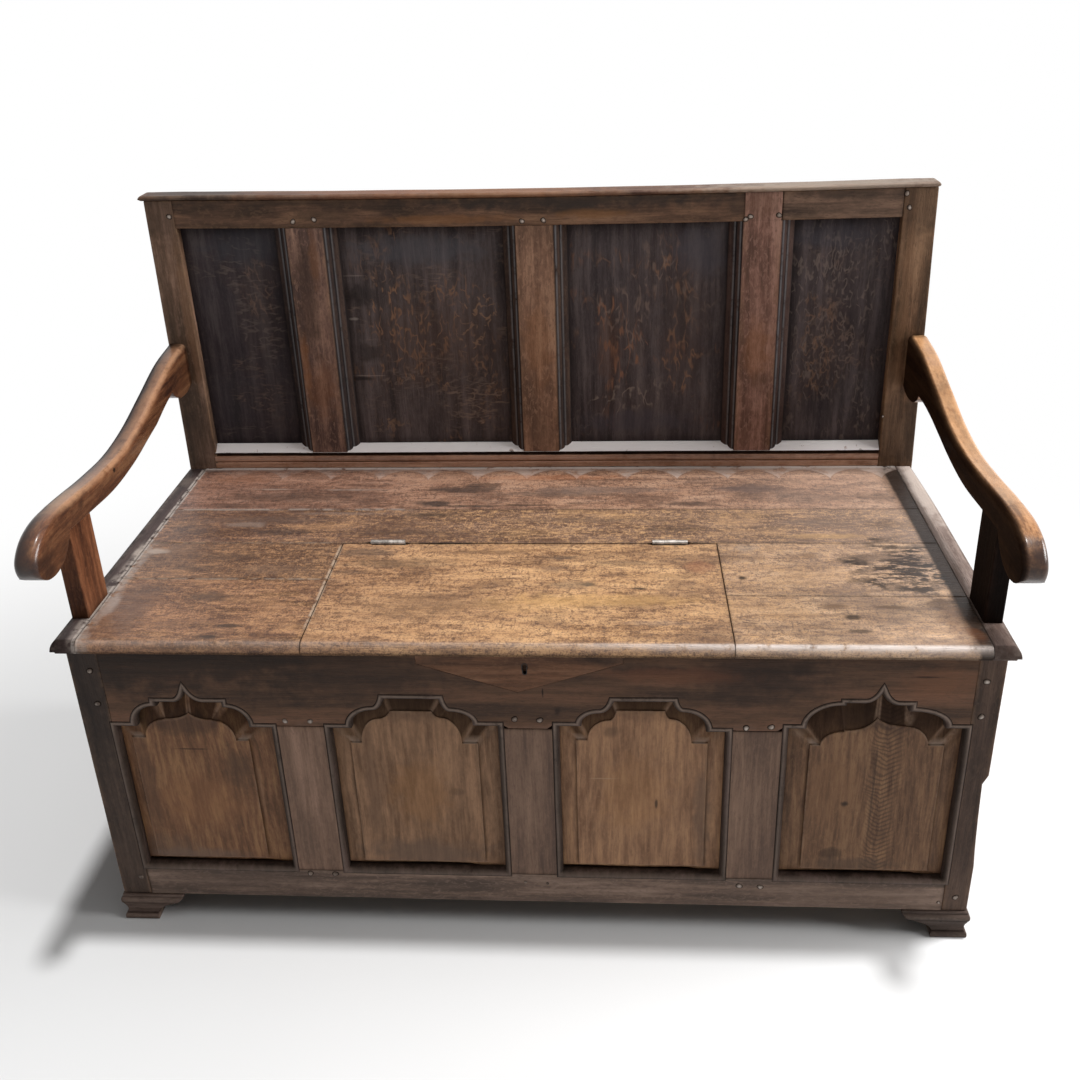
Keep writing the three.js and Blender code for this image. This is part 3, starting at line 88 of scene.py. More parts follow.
def skinned(name, shells, body, finish, stands_for=(), traces=None, ring=False, crease=38):
    """A piece whose skin runs over stacks of closed loops, in millimetres.
    Point j of a loop joins point j of the next. The first and last loops are closed by a flat face,
    or a ring joins them to each other. A loop drawn to one point closes as a pole. Traces are
    per-point values from 0 to 1 that the finish reads, one list of arrays for each name."""
    points, faces, start = [], [], 0
    for shell in shells:
        rows, count = shell.shape[:2]
        a = np.arange(rows if ring else rows - 1)[:, None] * count
        b = (a + count) % (rows * count)
        j = np.arange(count)[None, :]
        k = (j + 1) % count
        quads = np.stack([a + j, a + k, b + k, b + j], -1).reshape(-1, 4) + start
        faces += quads.tolist()
        if not ring:
            for row, order in ((0, slice(None, None, -1)), (rows - 1, slice(None))):
                if np.ptp(shell[row], axis=0).max() > 1e-6:
                    faces.append((np.arange(count) + row * count + start)[order].tolist())
        points.append(shell.reshape(-1, 3))
        start += rows * count
    places = np.concatenate(points) * MM
    places[:, 1] += FRONT_PLANE
    mesh = bpy.data.meshes.new(name)
    mesh.from_pydata(places.tolist(), [], faces)
    for trace, arrays in (traces or {}).items():
        layer = mesh.attributes.new(trace, "FLOAT", "POINT")
        layer.data.foreach_set("value", np.concatenate([v.reshape(-1) for v in arrays]).astype(np.float32))
    work = bmesh.new()
    work.from_mesh(mesh)
    bmesh.ops.remove_doubles(work, verts=work.verts, dist=1e-7)
    if work.calc_volume(signed=True) < 0:
        bmesh.ops.reverse_faces(work, faces=work.faces)
    work.to_mesh(mesh)
    work.free()
    mesh.polygons.foreach_set("use_smooth", np.ones(len(mesh.polygons), bool))
    mesh.set_sharp_from_angle(angle=math.radians(crease))
    mesh.materials.append(finish)
    piece = bpy.data.objects.new(name, mesh)
    bpy.context.scene.collection.objects.link(piece)
    shading = piece.modifiers.new("Even shading", "WEIGHTED_NORMAL")
    shading.keep_sharp = True
    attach(piece, body)
    if stands_for:
        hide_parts(*stands_for)
    return piece


def fitted(node, loops, slot, finish, rub, grime_and_shade, body="base", ring=False, crease=38, **more):
    """The skin of one piece of the frame, which it stands for, with its traces."""
    traces = {name: [values] for name, values in {"rub": rub, "grime_and_shade": grime_and_shade, **more}.items()}
    return skinned(node, [loops], body, finish, [node], traces, ring, crease)


def side_places(half, rounding, pitch):
    """Places along one side of a section, close together near its corners and a pitch apart
    between them."""
    near = [m for m in (1.5, 4.0, 9.0) if rounding + m < half * 0.8]
    left = [-half + rounding + m for m in near]
    inner = left[-1] if left else -half + rounding
    steps = max(1, int(round(-2 * inner / pitch)))
    middle = np.linspace(inner, -inner, steps + 1)
    return np.unique(np.round(np.concatenate([left, middle, [-v for v in left]]), 4))


def rounded_rectangle(half_u, half_v, rounding, pitch, steps=3):
    """Closed loop round a rectangle whose corners are quarter circles."""
    turn = np.linspace(0, math.pi / 2, steps + 1)
    u_places = side_places(half_u, rounding, pitch)
    v_places = side_places(half_v, rounding, pitch)
    corner_u = half_u - rounding + rounding * np.cos(turn)
    corner_v = half_v - rounding + rounding * np.sin(turn)
    quarter = np.stack([corner_u, corner_v], -1)
    up = np.stack([np.full_like(v_places, half_u), v_places], -1)
    across = np.stack([u_places[::-1], np.full_like(u_places, half_v)], -1)
    half_loop = np.concatenate([up, quarter, across, (quarter * [-1, 1])[::-1]])
    return np.concatenate([half_loop, -half_loop])


def end_stations(low, high, rounding, pitch, steps=3):
    """Places along a run and how far the section draws in at each: by a quarter circle at both
    ends, and close together near them."""
    turn = np.linspace(0, math.pi / 2, steps + 1)
    lead = rounding * (1 - np.cos(turn))
    draw = rounding * (1 - np.sin(turn))
    near = np.array([1.5, 4.0, 9.0]) + rounding
    near = near[near < (high - low) * 0.4]
    inner = near[-1] if len(near) else rounding
    count = max(1, int(round((high - low - 2 * inner) / pitch)))
    middle = np.linspace(low + inner, high - inner, count + 1)
    places = np.concatenate([low + lead, low + near[:-1], middle, high - near[:-1][::-1],
                             (high - lead)[::-1]])
    inset = np.concatenate([draw, np.zeros(len(places) - 2 * len(draw)), draw[::-1]])
    return places, inset


def squared(low, high, along, rounding=1.2, pitch=14.0, butted=True, worked=0.35):
    """Loops of a squared length of oak with its arrises rubbed round, and its rub and grime.
    A rounded rectangle is carried along the run and drawn in at both ends. Rub falls away with the
    distance from the nearest long arris, and grime with the distance from a butted end."""
    low, high = np.asarray(low, float), np.asarray(high, float)
    u, v, w = AXES[along]
    half_u, half_v = (high[u] - low[u]) / 2, (high[v] - low[v]) / 2
    section = rounded_rectangle(half_u, half_v, rounding, pitch)
    places, inset = end_stations(low[w], high[w], rounding, pitch)
    loops = np.empty((len(places), len(section), 3))
    loops[..., u] = (low[u] + high[u]) / 2 + section[:, 0] * (1 - inset[:, None] / half_u)
    loops[..., v] = (low[v] + high[v]) / 2 + section[:, 1] * (1 - inset[:, None] / half_v)
    loops[..., w] = places[:, None]
    from_arris = np.maximum(half_u - np.abs(section[:, 0]), half_v - np.abs(section[:, 1]))
    from_end = np.minimum(places - low[w], high[w] - places)[:, None]
    if butted:
        rub = np.exp(-from_arris / 2.2)[None, :] * np.ones_like(from_end)
        grime_and_shade = np.exp(-from_end / 1.6) * np.ones_like(from_arris)
    else:
        rub = np.exp(-np.minimum(from_arris[None, :], from_end) / 2.2)
        grime_and_shade = np.zeros_like(rub)
    return hand_worked(loops, worked), rub, grime_and_shade


def tint(code):
    """Linear colour from the six letters and digits of a screen colour."""
    screen = np.array([int(code[i:i + 2], 16) for i in (0, 2, 4)]) / 255
    linear = np.where(screen < 0.04045, screen / 12.92, ((screen + 0.055) / 1.055) ** 2.4)
    return (*linear, 1.0)


def put(tree, kind, *values, **settings):
    """A shader node with its settings; the values fill its inputs in order."""
    made = tree.nodes.new("ShaderNode" + kind)
    for key, value in settings.items():
        setattr(made, key, value)
    for socket, value in zip(made.inputs, values):
        if isinstance(value, bpy.types.NodeSocket):
            tree.links.new(value, socket)
        elif value is not None:
            socket.default_value = value
    return made


def new_material(name):
    """An empty material, its nodes and the surface that they feed."""
    material = bpy.data.materials.new(name)
    material.use_nodes = True
    return material, material.node_tree, material.node_tree.nodes["Principled BSDF"]


def embossed(tree, surface, height, strength, distance):
    """Fine relief on a surface, from a height."""
    bump = put(tree, "Bump")
    bump.inputs["Strength"].default_value = strength
    bump.inputs["Distance"].default_value = distance
    tree.links.new(height, bump.inputs["Height"])
    tree.links.new(bump.outputs[0], surface.inputs["Normal"])


def sum_up(tree, operation, *values):
    """The output of one Math node."""
    return put(tree, "Math", *values, operation=operation).outputs[0]


def times(tree, *values):
    """The product of the values, from left to right."""
    product = values[0]
    for value in values[1:]:
        product = sum_up(tree, "MULTIPLY", product, value)
    return product


def plus(tree, first, second):
    """The sum of two values."""
    return sum_up(tree, "ADD", first, second)


def minus(tree, first, second):
    """The first value less the second."""
    return sum_up(tree, "SUBTRACT", first, second)


def scaled(tree, value, factor, offset):
    """The value times a factor, plus an offset."""
    return sum_up(tree, "MULTIPLY_ADD", value, factor, offset)


def flipped(tree, value):
    """One less the value."""
    return sum_up(tree, "SUBTRACT", 1.0, value)


def moved(tree, operation, *values):
    """The output of one Vector Math node."""
    return put(tree, "VectorMath", *values, operation=operation).outputs[0]


def eased(tree, value, start, end):
    """Nought before start, one after end, and a smooth step between."""
    return put(tree, "MapRange", value, start, end, 0.0, 1.0, interpolation_type="SMOOTHSTEP").outputs[0]


def blended(tree, factor, below, above, mode="MIX"):
    """Two colours mixed by a factor."""
    mix = put(tree, "Mix", data_type="RGBA", blend_type=mode)
    for index, value in ((0, factor), (6, below), (7, above)):
        if isinstance(value, bpy.types.NodeSocket):
            tree.links.new(value, mix.inputs[index])
        else:
            mix.inputs[index].default_value = value
    return mix.outputs[2]


def laid(tree, colour, code, *masks):
    """The colour with a tint laid over it, as strongly as the product of the masks."""
    return blended(tree, times(tree, *masks), colour, tint(code))


def cloud(tree, vector, scale, detail=2.0, roughness=0.5, distortion=0.0):
    """Value of a noise texture."""
    noise = put(tree, "TexNoise", noise_dimensions="3D")
    tree.links.new(vector, noise.inputs["Vector"])
    for label, value in (("Scale", scale), ("Detail", detail), ("Roughness", roughness),
                         ("Distortion", distortion)):
        noise.inputs[label].default_value = value
    return noise.outputs[0]


def new_group(name, inputs, outputs):
    """An empty shader group with named inputs and outputs."""
    tree = bpy.data.node_groups.new(name, "ShaderNodeTree")
    for label, kind, value in inputs:
        tree.interface.new_socket(label, in_out="INPUT",
                                  socket_type="NodeSocket" + kind).default_value = value
    for label, kind in outputs:
        tree.interface.new_socket(label, in_out="OUTPUT", socket_type="NodeSocket" + kind)
    return tree, tree.nodes.new("NodeGroupInput").outputs, tree.nodes.new("NodeGroupOutput").inputs


def oak_figure_group():
    """Figure of oak whose grain runs along the first coordinate: broad bands of tone that wander,
    fine fibres, and open pores as short dark dashes."""
    tree, given, result = new_group(
        "Oak figure",
        [("Position", "Vector", (0, 0, 0)), ("Shift", "Float", 0.0), ("Waver", "Float", 0.01),
         ("Bands", "Vector", (4.5, 60, 60))],
        [("Tone", "Float"), ("Fibre", "Float"), ("Pores", "Float"), ("Patches", "Float"), ("Curl", "Float"),
         ("Checks", "Float")],
    )
    offset = put(tree, "CombineXYZ", times(tree, given["Shift"], 3.7),
                 times(tree, given["Shift"], 1.9), given["Shift"]).outputs[0]
    place = moved(tree, "ADD", given["Position"], offset)
    slow = moved(tree, "MULTIPLY", place, (3.0, 9.0, 9.0))
    bend = minus(tree, cloud(tree, slow, 1.0, 2.0), 0.5)
    sway = put(tree, "CombineXYZ", 0.0, times(tree, bend, given["Waver"]),
               times(tree, bend, given["Waver"])).outputs[0]
    bent = moved(tree, "ADD", place, sway)
    bands = moved(tree, "MULTIPLY", bent, given["Bands"])
    tree.links.new(cloud(tree, bands, 1.0, 4.0, 0.62), result["Tone"])
    threads = moved(tree, "MULTIPLY", bent, (24.0, 480.0, 480.0))
    tree.links.new(cloud(tree, threads, 1.0, 2.0, 0.6), result["Fibre"])
    dashes = moved(tree, "MULTIPLY", bent, (110.0, 800.0, 800.0))
    tree.links.new(eased(tree, cloud(tree, dashes, 1.0, 1.0), 0.58, 0.7), result["Pores"])
    tree.links.new(cloud(tree, moved(tree, "MULTIPLY", place, (1.0, 2.0, 2.0)), 7.0, 3.0, 0.6),
                   result["Patches"])
    curl = cloud(tree, moved(tree, "MULTIPLY", place, (0.45, 1.0, 1.0)), 210.0, 3.0, 0.65, 0.8)
    tree.links.new(eased(tree, curl, 0.5, 0.66), result["Curl"])
    tree.links.new(eased(tree, curl, 0.49, 0.33), result["Checks"])
    return tree


def soft_spot_group():
    """A ragged soft-edged oval: one inside, falling to nought outside."""
    tree, given, result = new_group(
        "Soft spot",
        [("Position", "Vector", (0, 0, 0)), ("Centre", "Vector", (0, 0, 0)), ("Size", "Vector", (1, 1, 1)),
         ("Ragged", "Float", 0.3), ("Grain", "Float", 60.0)],
        [("Mask", "Float")],
    )
    away = moved(tree, "DIVIDE", moved(tree, "SUBTRACT", given["Position"], given["Centre"]), given["Size"])
    distance = put(tree, "VectorMath", away, operation="LENGTH").outputs["Value"]
    noise = put(tree, "TexNoise")
    tree.links.new(given["Position"], noise.inputs["Vector"])
    tree.links.new(given["Grain"], noise.inputs["Scale"])
    noise.inputs["Detail"].default_value = 3.0
    tear = times(tree, minus(tree, noise.outputs[0], 0.5), given["Ragged"])
    reach = scaled(tree, tear, 4.0, distance)
    tree.links.new(flipped(tree, eased(tree, reach, 0.35, 1.1)), result["Mask"])
    return tree


OAK_FIGURE = oak_figure_group()
SOFT_SPOT = soft_spot_group()


def called(tree, group, **values):
    """A shader group placed in a material, its inputs filled by name."""
    made = tree.nodes.new("ShaderNodeGroup")
    made.node_tree = group
    for label, value in values.items():
        socket = made.inputs[label]
        if isinstance(value, bpy.types.NodeSocket):
            tree.links.new(value, socket)
        else:
            socket.default_value = value
    return made.outputs


def in_place(point):
    """Millimetres from the chest's front face as an object coordinate in metres."""
    return (point[0] * MM, point[1] * MM + FRONT_PLANE, point[2] * MM)


def ramped(tree, factor, stops):
    """A colour ramp through the stops, each a place and a colour code."""
    ramp = put(tree, "ValToRGB", factor)
    while len(ramp.color_ramp.elements) < len(stops):
        ramp.color_ramp.elements.new(0.5)
    for element, (place, code) in zip(ramp.color_ramp.elements, stops):
        element.position = place
        element.color = tint(code)
    return ramp.outputs[0]


def oak(name, run, tones, seed, waver=0.012, pores=0.4, fibre=0.35, patches=0.35, mottle=0.25, spots=(),
        rubbed="8a6a50", rub=0.5, grime_and_shade_tint="120c0a", grime_and_shade=0.8, dusty="a39b95", rough=(0.42, 0.62), relief=0.35,
        shine=0.14, wax=0.0, bands=(4.5, 60.0, 60.0), extra=None):
    """Waxed oak with its grain along one axis, from three tones of dark, middle and light.
    Spots are stains, painted shadows and painted reflections, each with a centre, a size, a colour
    and a strength. Rubbed arrises go lighter and smoother, grimy joints and painted shade darker,
    and dust and painted highlights lie pale, where the piece's own traces say so."""
    material, tree, surface = new_material(name)
    place = put(tree, "TexCoord").outputs["Object"]
    parts = put(tree, "SeparateXYZ", place).outputs
    order = {"x": (0, 1, 2), "y": (1, 2, 0), "z": (2, 0, 1)}[run]
    along = put(tree, "CombineXYZ", *[parts[i] for i in order]).outputs[0]
    figure = called(tree, OAK_FIGURE, Position=along, Shift=float(seed), Waver=waver, Bands=bands)
    dark, middle, light = tones
    tone = scaled(tree, minus(tree, figure["Patches"], 0.5), patches, figure["Tone"])
    colour = ramped(tree, tone, [(0.34, dark), (0.5, middle), (0.66, light)])
    shade = scaled(tree, figure["Fibre"], fibre * 2, 1.0 - fibre)
    colour = blended(tree, 1.0, colour, put(tree, "CombineXYZ", shade, shade, shade).outputs[0], "MULTIPLY")
    colour = laid(tree, colour, dark, figure["Pores"], pores)
    colour = laid(tree, colour, light, figure["Curl"], mottle)
    colour = laid(tree, colour, dark, figure["Checks"], mottle)
    if extra:
        colour = extra(tree, place, colour)
    for centre, size, code, strength in spots:
        mask = called(tree, SOFT_SPOT, Position=place, Centre=in_place(centre),
                      Size=[s * MM for s in size])["Mask"]
        colour = laid(tree, colour, code, mask, strength)
    rubbing = put(tree, "Attribute", attribute_name="rub").outputs["Fac"]
    patchy = times(tree, rubbing, eased(tree, cloud(tree, place, 46.0, 3.0, 0.7), 0.35, 0.65))
    colour = laid(tree, colour, rubbed, patchy, rub)
    dirt_and_shade = put(tree, "Attribute", attribute_name="grime_and_shade").outputs["Fac"]
    colour = laid(tree, colour, grime_and_shade_tint, dirt_and_shade, grime_and_shade)
    dust = put(tree, "Attribute", attribute_name="dust").outputs["Fac"]
    settled_dust = times(tree, dust, eased(tree, cloud(tree, place, 60.0, 3.0, 0.7), 0.22, 0.5))
    colour = laid(tree, colour, dusty, settled_dust)
    tree.links.new(colour, surface.inputs["Base Color"])
    dull = scaled(tree, figure["Fibre"], rough[1] - rough[0], rough[0])
    dull = scaled(tree, patchy, -0.12, dull)
    dull = scaled(tree, dirt_and_shade, 0.25, dull)
    tree.links.new(dull, surface.inputs["Roughness"])
    height = scaled(tree, figure["Pores"], -0.5, figure["Fibre"])
    height = scaled(tree, cloud(tree, place, 16.0, 2.0), 1.6, height)
    embossed(tree, surface, height, relief, 0.0012)
    clean = scaled(tree, dirt_and_shade, -0.9, 1.0)
    tree.links.new(times(tree, clean, shine), surface.inputs["Specular IOR Level"])
    if wax:
        tree.links.new(times(tree, clean, wax), surface.inputs["Coat Weight"])
        surface.inputs["Coat Roughness"].default_value = 0.22
    return material


def chipped(loops):
    """The outer edge of the right stile with its lost splinter: below the break it stands in by
    seven millimetres, and comes back out over the next hundred."""
    z = loops[..., 2]
    lost = np.where(z < 283, 7.0 * np.clip(1 - (283 - z) / 150, 0, 1) ** 0.7, 0.0)
    outer = loops[..., 0] > 585
    loops[..., 0] -= np.where(outer, lost * (loops[..., 0] - 585) / 15, 0.0)
    return loops


for side, seed in (("left", 1), ("right", 2)):
    node = f"front_{side}_stile"
    low, high = span(node)
    if side == "left":
        high[0] = span("front_panel_1")[0][0] + 2.5
    else:
        low[0] = span("front_panel_4")[1][0] - 2.5
    loops, rub, grime_and_shade = squared(low, high, "z", 1.6)
    if side == "right":
        loops = chipped(loops)
    tones = ("2c221c", "41332b", "55443a") if side == "left" else ("33261f", "48372e", "5c483c")
    # The left stile's dark spot at its top is painted shadow under the seat's overhang.
    finish = oak(f"{side}_stile_oak", "z", tones, seed, rub=0.55,
                 spots=[((low[0], 0, 500), (150, 60, 260), "1d1614", 0.7)] if side == "left" else ())
    fitted(node, loops, "oak_frame", finish, rub, grime_and_shade)


# ---- Front rails --------------------------------------------------------------------------------
# The top rail is one wide board whose lower edge is sawn into four shaped arches: lobed and pointed
# over the outer panels, lobed and flat-topped over the inner two. The bottom rail is plain. Both
# are held by oak pegs.

SPRING = 353.0
SILL = 98.0
ARCH_RISE = 72.0
OPENINGS = [(-559.0, -338.2), (-267.2, -34.4), (36.6, 263.5), (334.5, 566.0)]
# Each side lists shares of half the opening and of the rise: the edge, the lobe's start and
# springing, the lobe's end and top, and the inner end of the shelf and its height.
ARCHES = [
    ([1, 0.744, 0, 0.452, 0.458, 0.187, 0.556], [1, 0.726, 0, 0.434, 0.444, 0.178, 0.556], (-0.041, 0.903)),
    ([1, 0.751, 0.01, 0.451, 0.417, 0.339, 0.681], [1, 0.717, 0.097, 0.433, 0.403, 0.339, 0.681], None),
    ([1, 0.736, 0.111, 0.489, 0.403, 0.348, 0.667], [1, 0.771, 0.014, 0.463, 0.444, 0.374, 0.667], None),
    ([1, 0.802, 0.111, 0.388, 0.625, 0.155, 0.681], [1, 0.784, 0.153, 0.371, 0.514, 0.216, 0.64], (0.026, 1)),
]
LOBE_STEPS = 10
CURVE_STEPS = 9
CURVE_SWEEP = math.radians(65)


def hollow(start, end):
    """Hollow curve that leaves level from one point and steepens to another: a circle's arc of 65
    degrees, stretched to fit."""
    turn = CURVE_SWEEP * np.arange(1, CURVE_STEPS + 1) / CURVE_STEPS
    across = np.sin(turn) / math.sin(CURVE_SWEEP)
    up = (1 - np.cos(turn)) / (1 - math.cos(CURVE_SWEEP))
    return np.stack([start[0] + (end[0] - start[0]) * across, start[1] + (end[1] - start[1]) * up], -1)


def arch_side(shares, half, bottom, point, grow):
    """One side of an arch from its foot to its top: a straight jamb, a level shoulder, a quarter
    oval for the lobe, then a shelf and a hollow to the point, or a hollow straight to the flat."""
    edge, start, spring, end, lobe, inner, shelf = shares
    edge, start, end = (share * half + grow for share in (edge, start, end))
    inner = inner * half + (0 if point else grow)
    spring, lobe, shelf = (SPRING + share * ARCH_RISE + grow for share in (spring, lobe, shelf))
    turn = math.pi / 2 * np.arange(1, LOBE_STEPS + 1) / LOBE_STEPS
    quarter = np.stack([end + (start - end) * np.cos(turn), spring + (lobe - spring) * np.sin(turn)], -1)
    straight = np.array([(edge, bottom), (edge, spring), (start, spring)])
    if point:
        top = (point[0], SPRING + point[1] * ARCH_RISE + grow)
        return np.concatenate([straight, quarter, [(end, shelf), (inner, shelf)],
                               hollow((inner, shelf), top)])
    return np.concatenate([straight, quarter, hollow((end, lobe), (inner, shelf))])


def arched(index, table, bottom, grow=0.0):
    """Closed outline of an arched opening or field, anticlockwise from its lower right corner."""
    left_edge, right_edge = OPENINGS[index]
    middle, half = (left_edge + right_edge) / 2, (right_edge - left_edge) / 2
    left, right, peak = table[index]
    point = peak and (peak[0] * half, peak[1])
    right_half = arch_side(right, half, bottom, point, grow)
    left_half = arch_side(left, half, bottom, point and (-point[0], point[1]), grow)
    left_half = (left_half * [-1, 1])[::-1]
    return np.concatenate([right_half, left_half[1 if point else 0:]]) + [middle, 0]


def densified(outline, pitch, like=None, closed=True):
    """An outline with points added a pitch apart along its edges, shared out in the same numbers
    as along another outline where one is given. A closed one is also filled from its last point
    back to its first."""
    guide = outline if like is None else like
    lengths = np.linalg.norm(np.roll(guide, -1, axis=0) - guide, axis=1)
    counts = np.maximum(1, np.round(lengths / pitch)).astype(int)
    if not closed:
        counts[-1] = 1
    index = np.repeat(np.arange(len(outline)), counts)
    share = np.concatenate([np.arange(c) / c for c in counts])[:, None]
    return outline[index] * (1 - share) + np.roll(outline, -1, axis=0)[index] * share


def inward(outline, distance):
    """Each point of an anticlockwise outline moved inwards along the mitre of its two edges."""
    ahead = np.roll(outline, -1, axis=0) - outline
    ahead /= np.linalg.norm(ahead, axis=1, keepdims=True)
    behind = np.roll(ahead, 1, axis=0)
    normal_ahead = np.stack([-ahead[:, 1], ahead[:, 0]], -1)
    normal_behind = np.stack([-behind[:, 1], behind[:, 0]], -1)
    spread = 1 + np.sum(normal_ahead * normal_behind, axis=1, keepdims=True)
    return outline + (normal_ahead + normal_behind) / np.maximum(spread, 0.35) * np.reshape(distance, (-1, 1))


PATCH_MIDDLE = -7.0
PATCH = np.array([(-133.0, 454.0), (-3.0, 410.5), (133.0, 456.5), (133.0, 480.0), (-133.0, 480.0)])
PATCH = PATCH + [PATCH_MIDDLE, 0]
PATCH_DEPTH = 6.0
RAIL_TOP = 480.0
RAIL_BACK = 26.0


def rail_columns():
    """Upright columns of the rail from left to right: place, height of the sawn lower edge, and
    height of the upper edge, which steps down along the bed of the lock patch."""
    low, high = OPENINGS[0][0] + 0.3, OPENINGS[3][1] - 0.3
    arches = [densified(arched(index, ARCHES, SILL)[1:-1][::-1], 8, closed=False) for index in range(4)]
    between = [np.column_stack([np.linspace(a[-1, 0], b[0, 0], 8), np.full(8, SPRING)])[1:-1]
               for a, b in zip(arches, arches[1:])]
    lower = [arches[0]]
    for gap, arch in zip(between, arches[1:]):
        lower += [gap, arch]
    lower = np.concatenate(lower)
    lower[:, 0] = np.clip(lower[:, 0], low, high)
    left, apex, right = PATCH[0], PATCH[1], PATCH[2]
    for x in (left[0] - 0.01, left[0], apex[0], right[0], right[0] + 0.01):
        at = np.searchsorted(lower[:, 0], x)
        lower = np.insert(lower, at, (x, np.interp(x, lower[at - 1:at + 1, 0], lower[at - 1:at + 1, 1])),
                          axis=0)
    upper = np.interp(lower[:, 0], [left[0], apex[0], right[0]], [left[1], apex[1], right[1]])
    upper = np.where((lower[:, 0] < left[0]) | (lower[:, 0] > right[0]), RAIL_TOP, upper)
    return lower[:, 0], lower[:, 1], upper


def rail_loops():
    """Loops of the top rail, one for each column: up the face, over the bed of the patch, across
    the top, down the back, and through the rounded arrises of the sawn edge, which are the sawn
    edge drawn in by a quarter circle."""
    x, lower, upper = rail_columns()
    edge_line = np.column_stack([x, lower])
    along = np.gradient(edge_line, axis=0)
    along /= np.maximum(np.linalg.norm(along, axis=1, keepdims=True), 1e-9)
    normal = np.column_stack([-along[:, 1], along[:, 0]])
    turn = np.linspace(0, math.pi / 2, 4)
    arris = 0.7
    rows = []

    def row(y, z, draw=0.0):
        rows.append(np.column_stack([x + normal[:, 0] * draw, np.full_like(x, y), z + normal[:, 1] * draw]))

    for lift in (0.0, 0.1, 0.25, 0.45, 0.65, 0.85, 1.0):
        row(0.0, lower + 1.5 + (upper - lower - 1.5) * lift)
    for y, z in ((PATCH_DEPTH, upper), (PATCH_DEPTH, RAIL_TOP), (RAIL_BACK - 0.8, RAIL_TOP),
                 (RAIL_BACK, RAIL_TOP - 0.8)):
        row(y, z)
    for lift in (0.66, 0.33, 0.02):
        row(RAIL_BACK, lower + (RAIL_TOP - lower) * lift)
    for angle in turn[::-1]:
        row(RAIL_BACK - arris * (1 - math.cos(angle)), lower, arris * (1 - math.sin(angle)))
    for angle in math.pi / 2 - turn:
        row(arris * (1 - math.cos(angle)), lower, arris * (1 - math.sin(angle)))
    loops = np.stack(rows, axis=1)
    loops[..., 0] = np.clip(loops[..., 0], x[0], x[-1])
    return loops


loops = hand_worked(rail_loops())
rub = np.zeros(loops.shape[:2])
rub[:, [-1, -2, 0]] = 0.8
# Painted shadow of the seat's nose: the face darkens towards its top edge.
grime_and_shade = np.where(loops[..., 1] < 3, 0.8 * np.exp(-np.maximum(RAIL_TOP - loops[..., 2], 0) / 9), 0.0)
rail_spots = [
    # This spot paints the seat's shadow over the upper left of the rail.
    ((-480, 0, 470), (260, 60, 90), "1f1815", 0.75),
    ((-230, 0, 440), (160, 60, 60), "2a1f1a", 0.5),
    ((300, 0, 425), (120, 60, 40), "2a1f1a", 0.55),
    ((300, 0, 455), (90, 60, 50), "241b17", 0.6),
    ((190, 0, 440), (110, 60, 16), "7a4c34", 0.35),
    ((520, 0, 430), (60, 60, 26), "7d5238", 0.35),
    ((22, 0, 412), (1.6, 30, 9), "120c0a", 0.9),
    ((40, 0, 382), (6, 30, 9), "1a1210", 0.7),
    ((433, 0, 402), (2.5, 30, 2.5), "120c0a", 0.8),
    ((505, 0, 440), (30, 30, 1.6), "1a1210", 0.7),
]
rail_finish = oak("top_rail_oak", "x", ("3f2e24", "573f2f", "6b4c3a"), 3, spots=rail_spots, rubbed="84695a",
                  rub=0.3, patches=0.15, mottle=0.2)
fitted("front_top_rail", loops, "oak_frame", rail_finish, rub, grime_and_shade)

low, high = span("front_bottom_rail")
low[0], high[0], high[2] = OPENINGS[0][0] + 0.3, OPENINGS[3][1] - 0.3, SILL
loops, rub, grime_and_shade = squared(low, high, "x", 1.2)
bottom_spots = [((-430, 0, 75), (190, 30, 40), "4a3c35", 0.4), ((420, 0, 70), (190, 30, 30), "6f5c50", 0.4)]
bottom_finish = oak("bottom_rail_oak", "x", ("51433b", "705c50", "8f786a"), 4, spots=bottom_spots,
                    rubbed="948071", rub=0.4, mottle=0.35)
fitted("front_bottom_rail", loops, "oak_frame", bottom_finish, rub, grime_and_shade)


# ---- Lock patch and keyhole ---------------------------------------------------------------------
# A five-sided piece of redder oak is let into the top rail over the lock. Its keyhole has a thin
# iron lining, and its lower edge has opened a hair from the bed.

KEY_MIDDLE = np.array([0.0, 447.0])
RIM_POINTS = 480
LINING_POINTS = 64


def keyhole_outline(grow, count):
    """Closed outline of a worn keyhole: a tall slot with round ends, a little wider at the eye. By
    the angle round its middle, it is a circle's two halves moved apart, and narrowed below."""
    angle = np.linspace(0, 2 * math.pi, count, endpoint=False)
    radius = np.where(np.sin(angle) > 0, 3.7, 3.0) + grow
    across = radius * np.cos(angle)
    up = radius * np.sin(angle) + 5.4 * np.clip(np.sin(angle) * 4, -1, 1)
    return np.stack([across, up], -1) + KEY_MIDDLE


def by_angle(outline, middle, count):
    """An outline resampled at equal angles round its middle, where rays from the middle cross it."""
    dense = densified(outline, 0.6) - middle
    angle = np.unwrap(np.arctan2(dense[:, 1], dense[:, 0]))
    order = np.argsort(angle % (2 * math.pi))
    wanted = np.linspace(0, 2 * math.pi, count, endpoint=False)
    turned = angle[order] % (2 * math.pi)
    x = np.interp(wanted, turned, dense[order, 0], period=2 * math.pi)
    z = np.interp(wanted, turned, dense[order, 1], period=2 * math.pi)
    return np.stack([x, z], -1) + middle


def laid_at_depths(stack):
    """Loops from outlines of the front, each at its depth behind the face."""
    return np.array([np.column_stack([ring[:, 0], np.full(len(ring), depth), ring[:, 1]])
                     for ring, depth in stack])


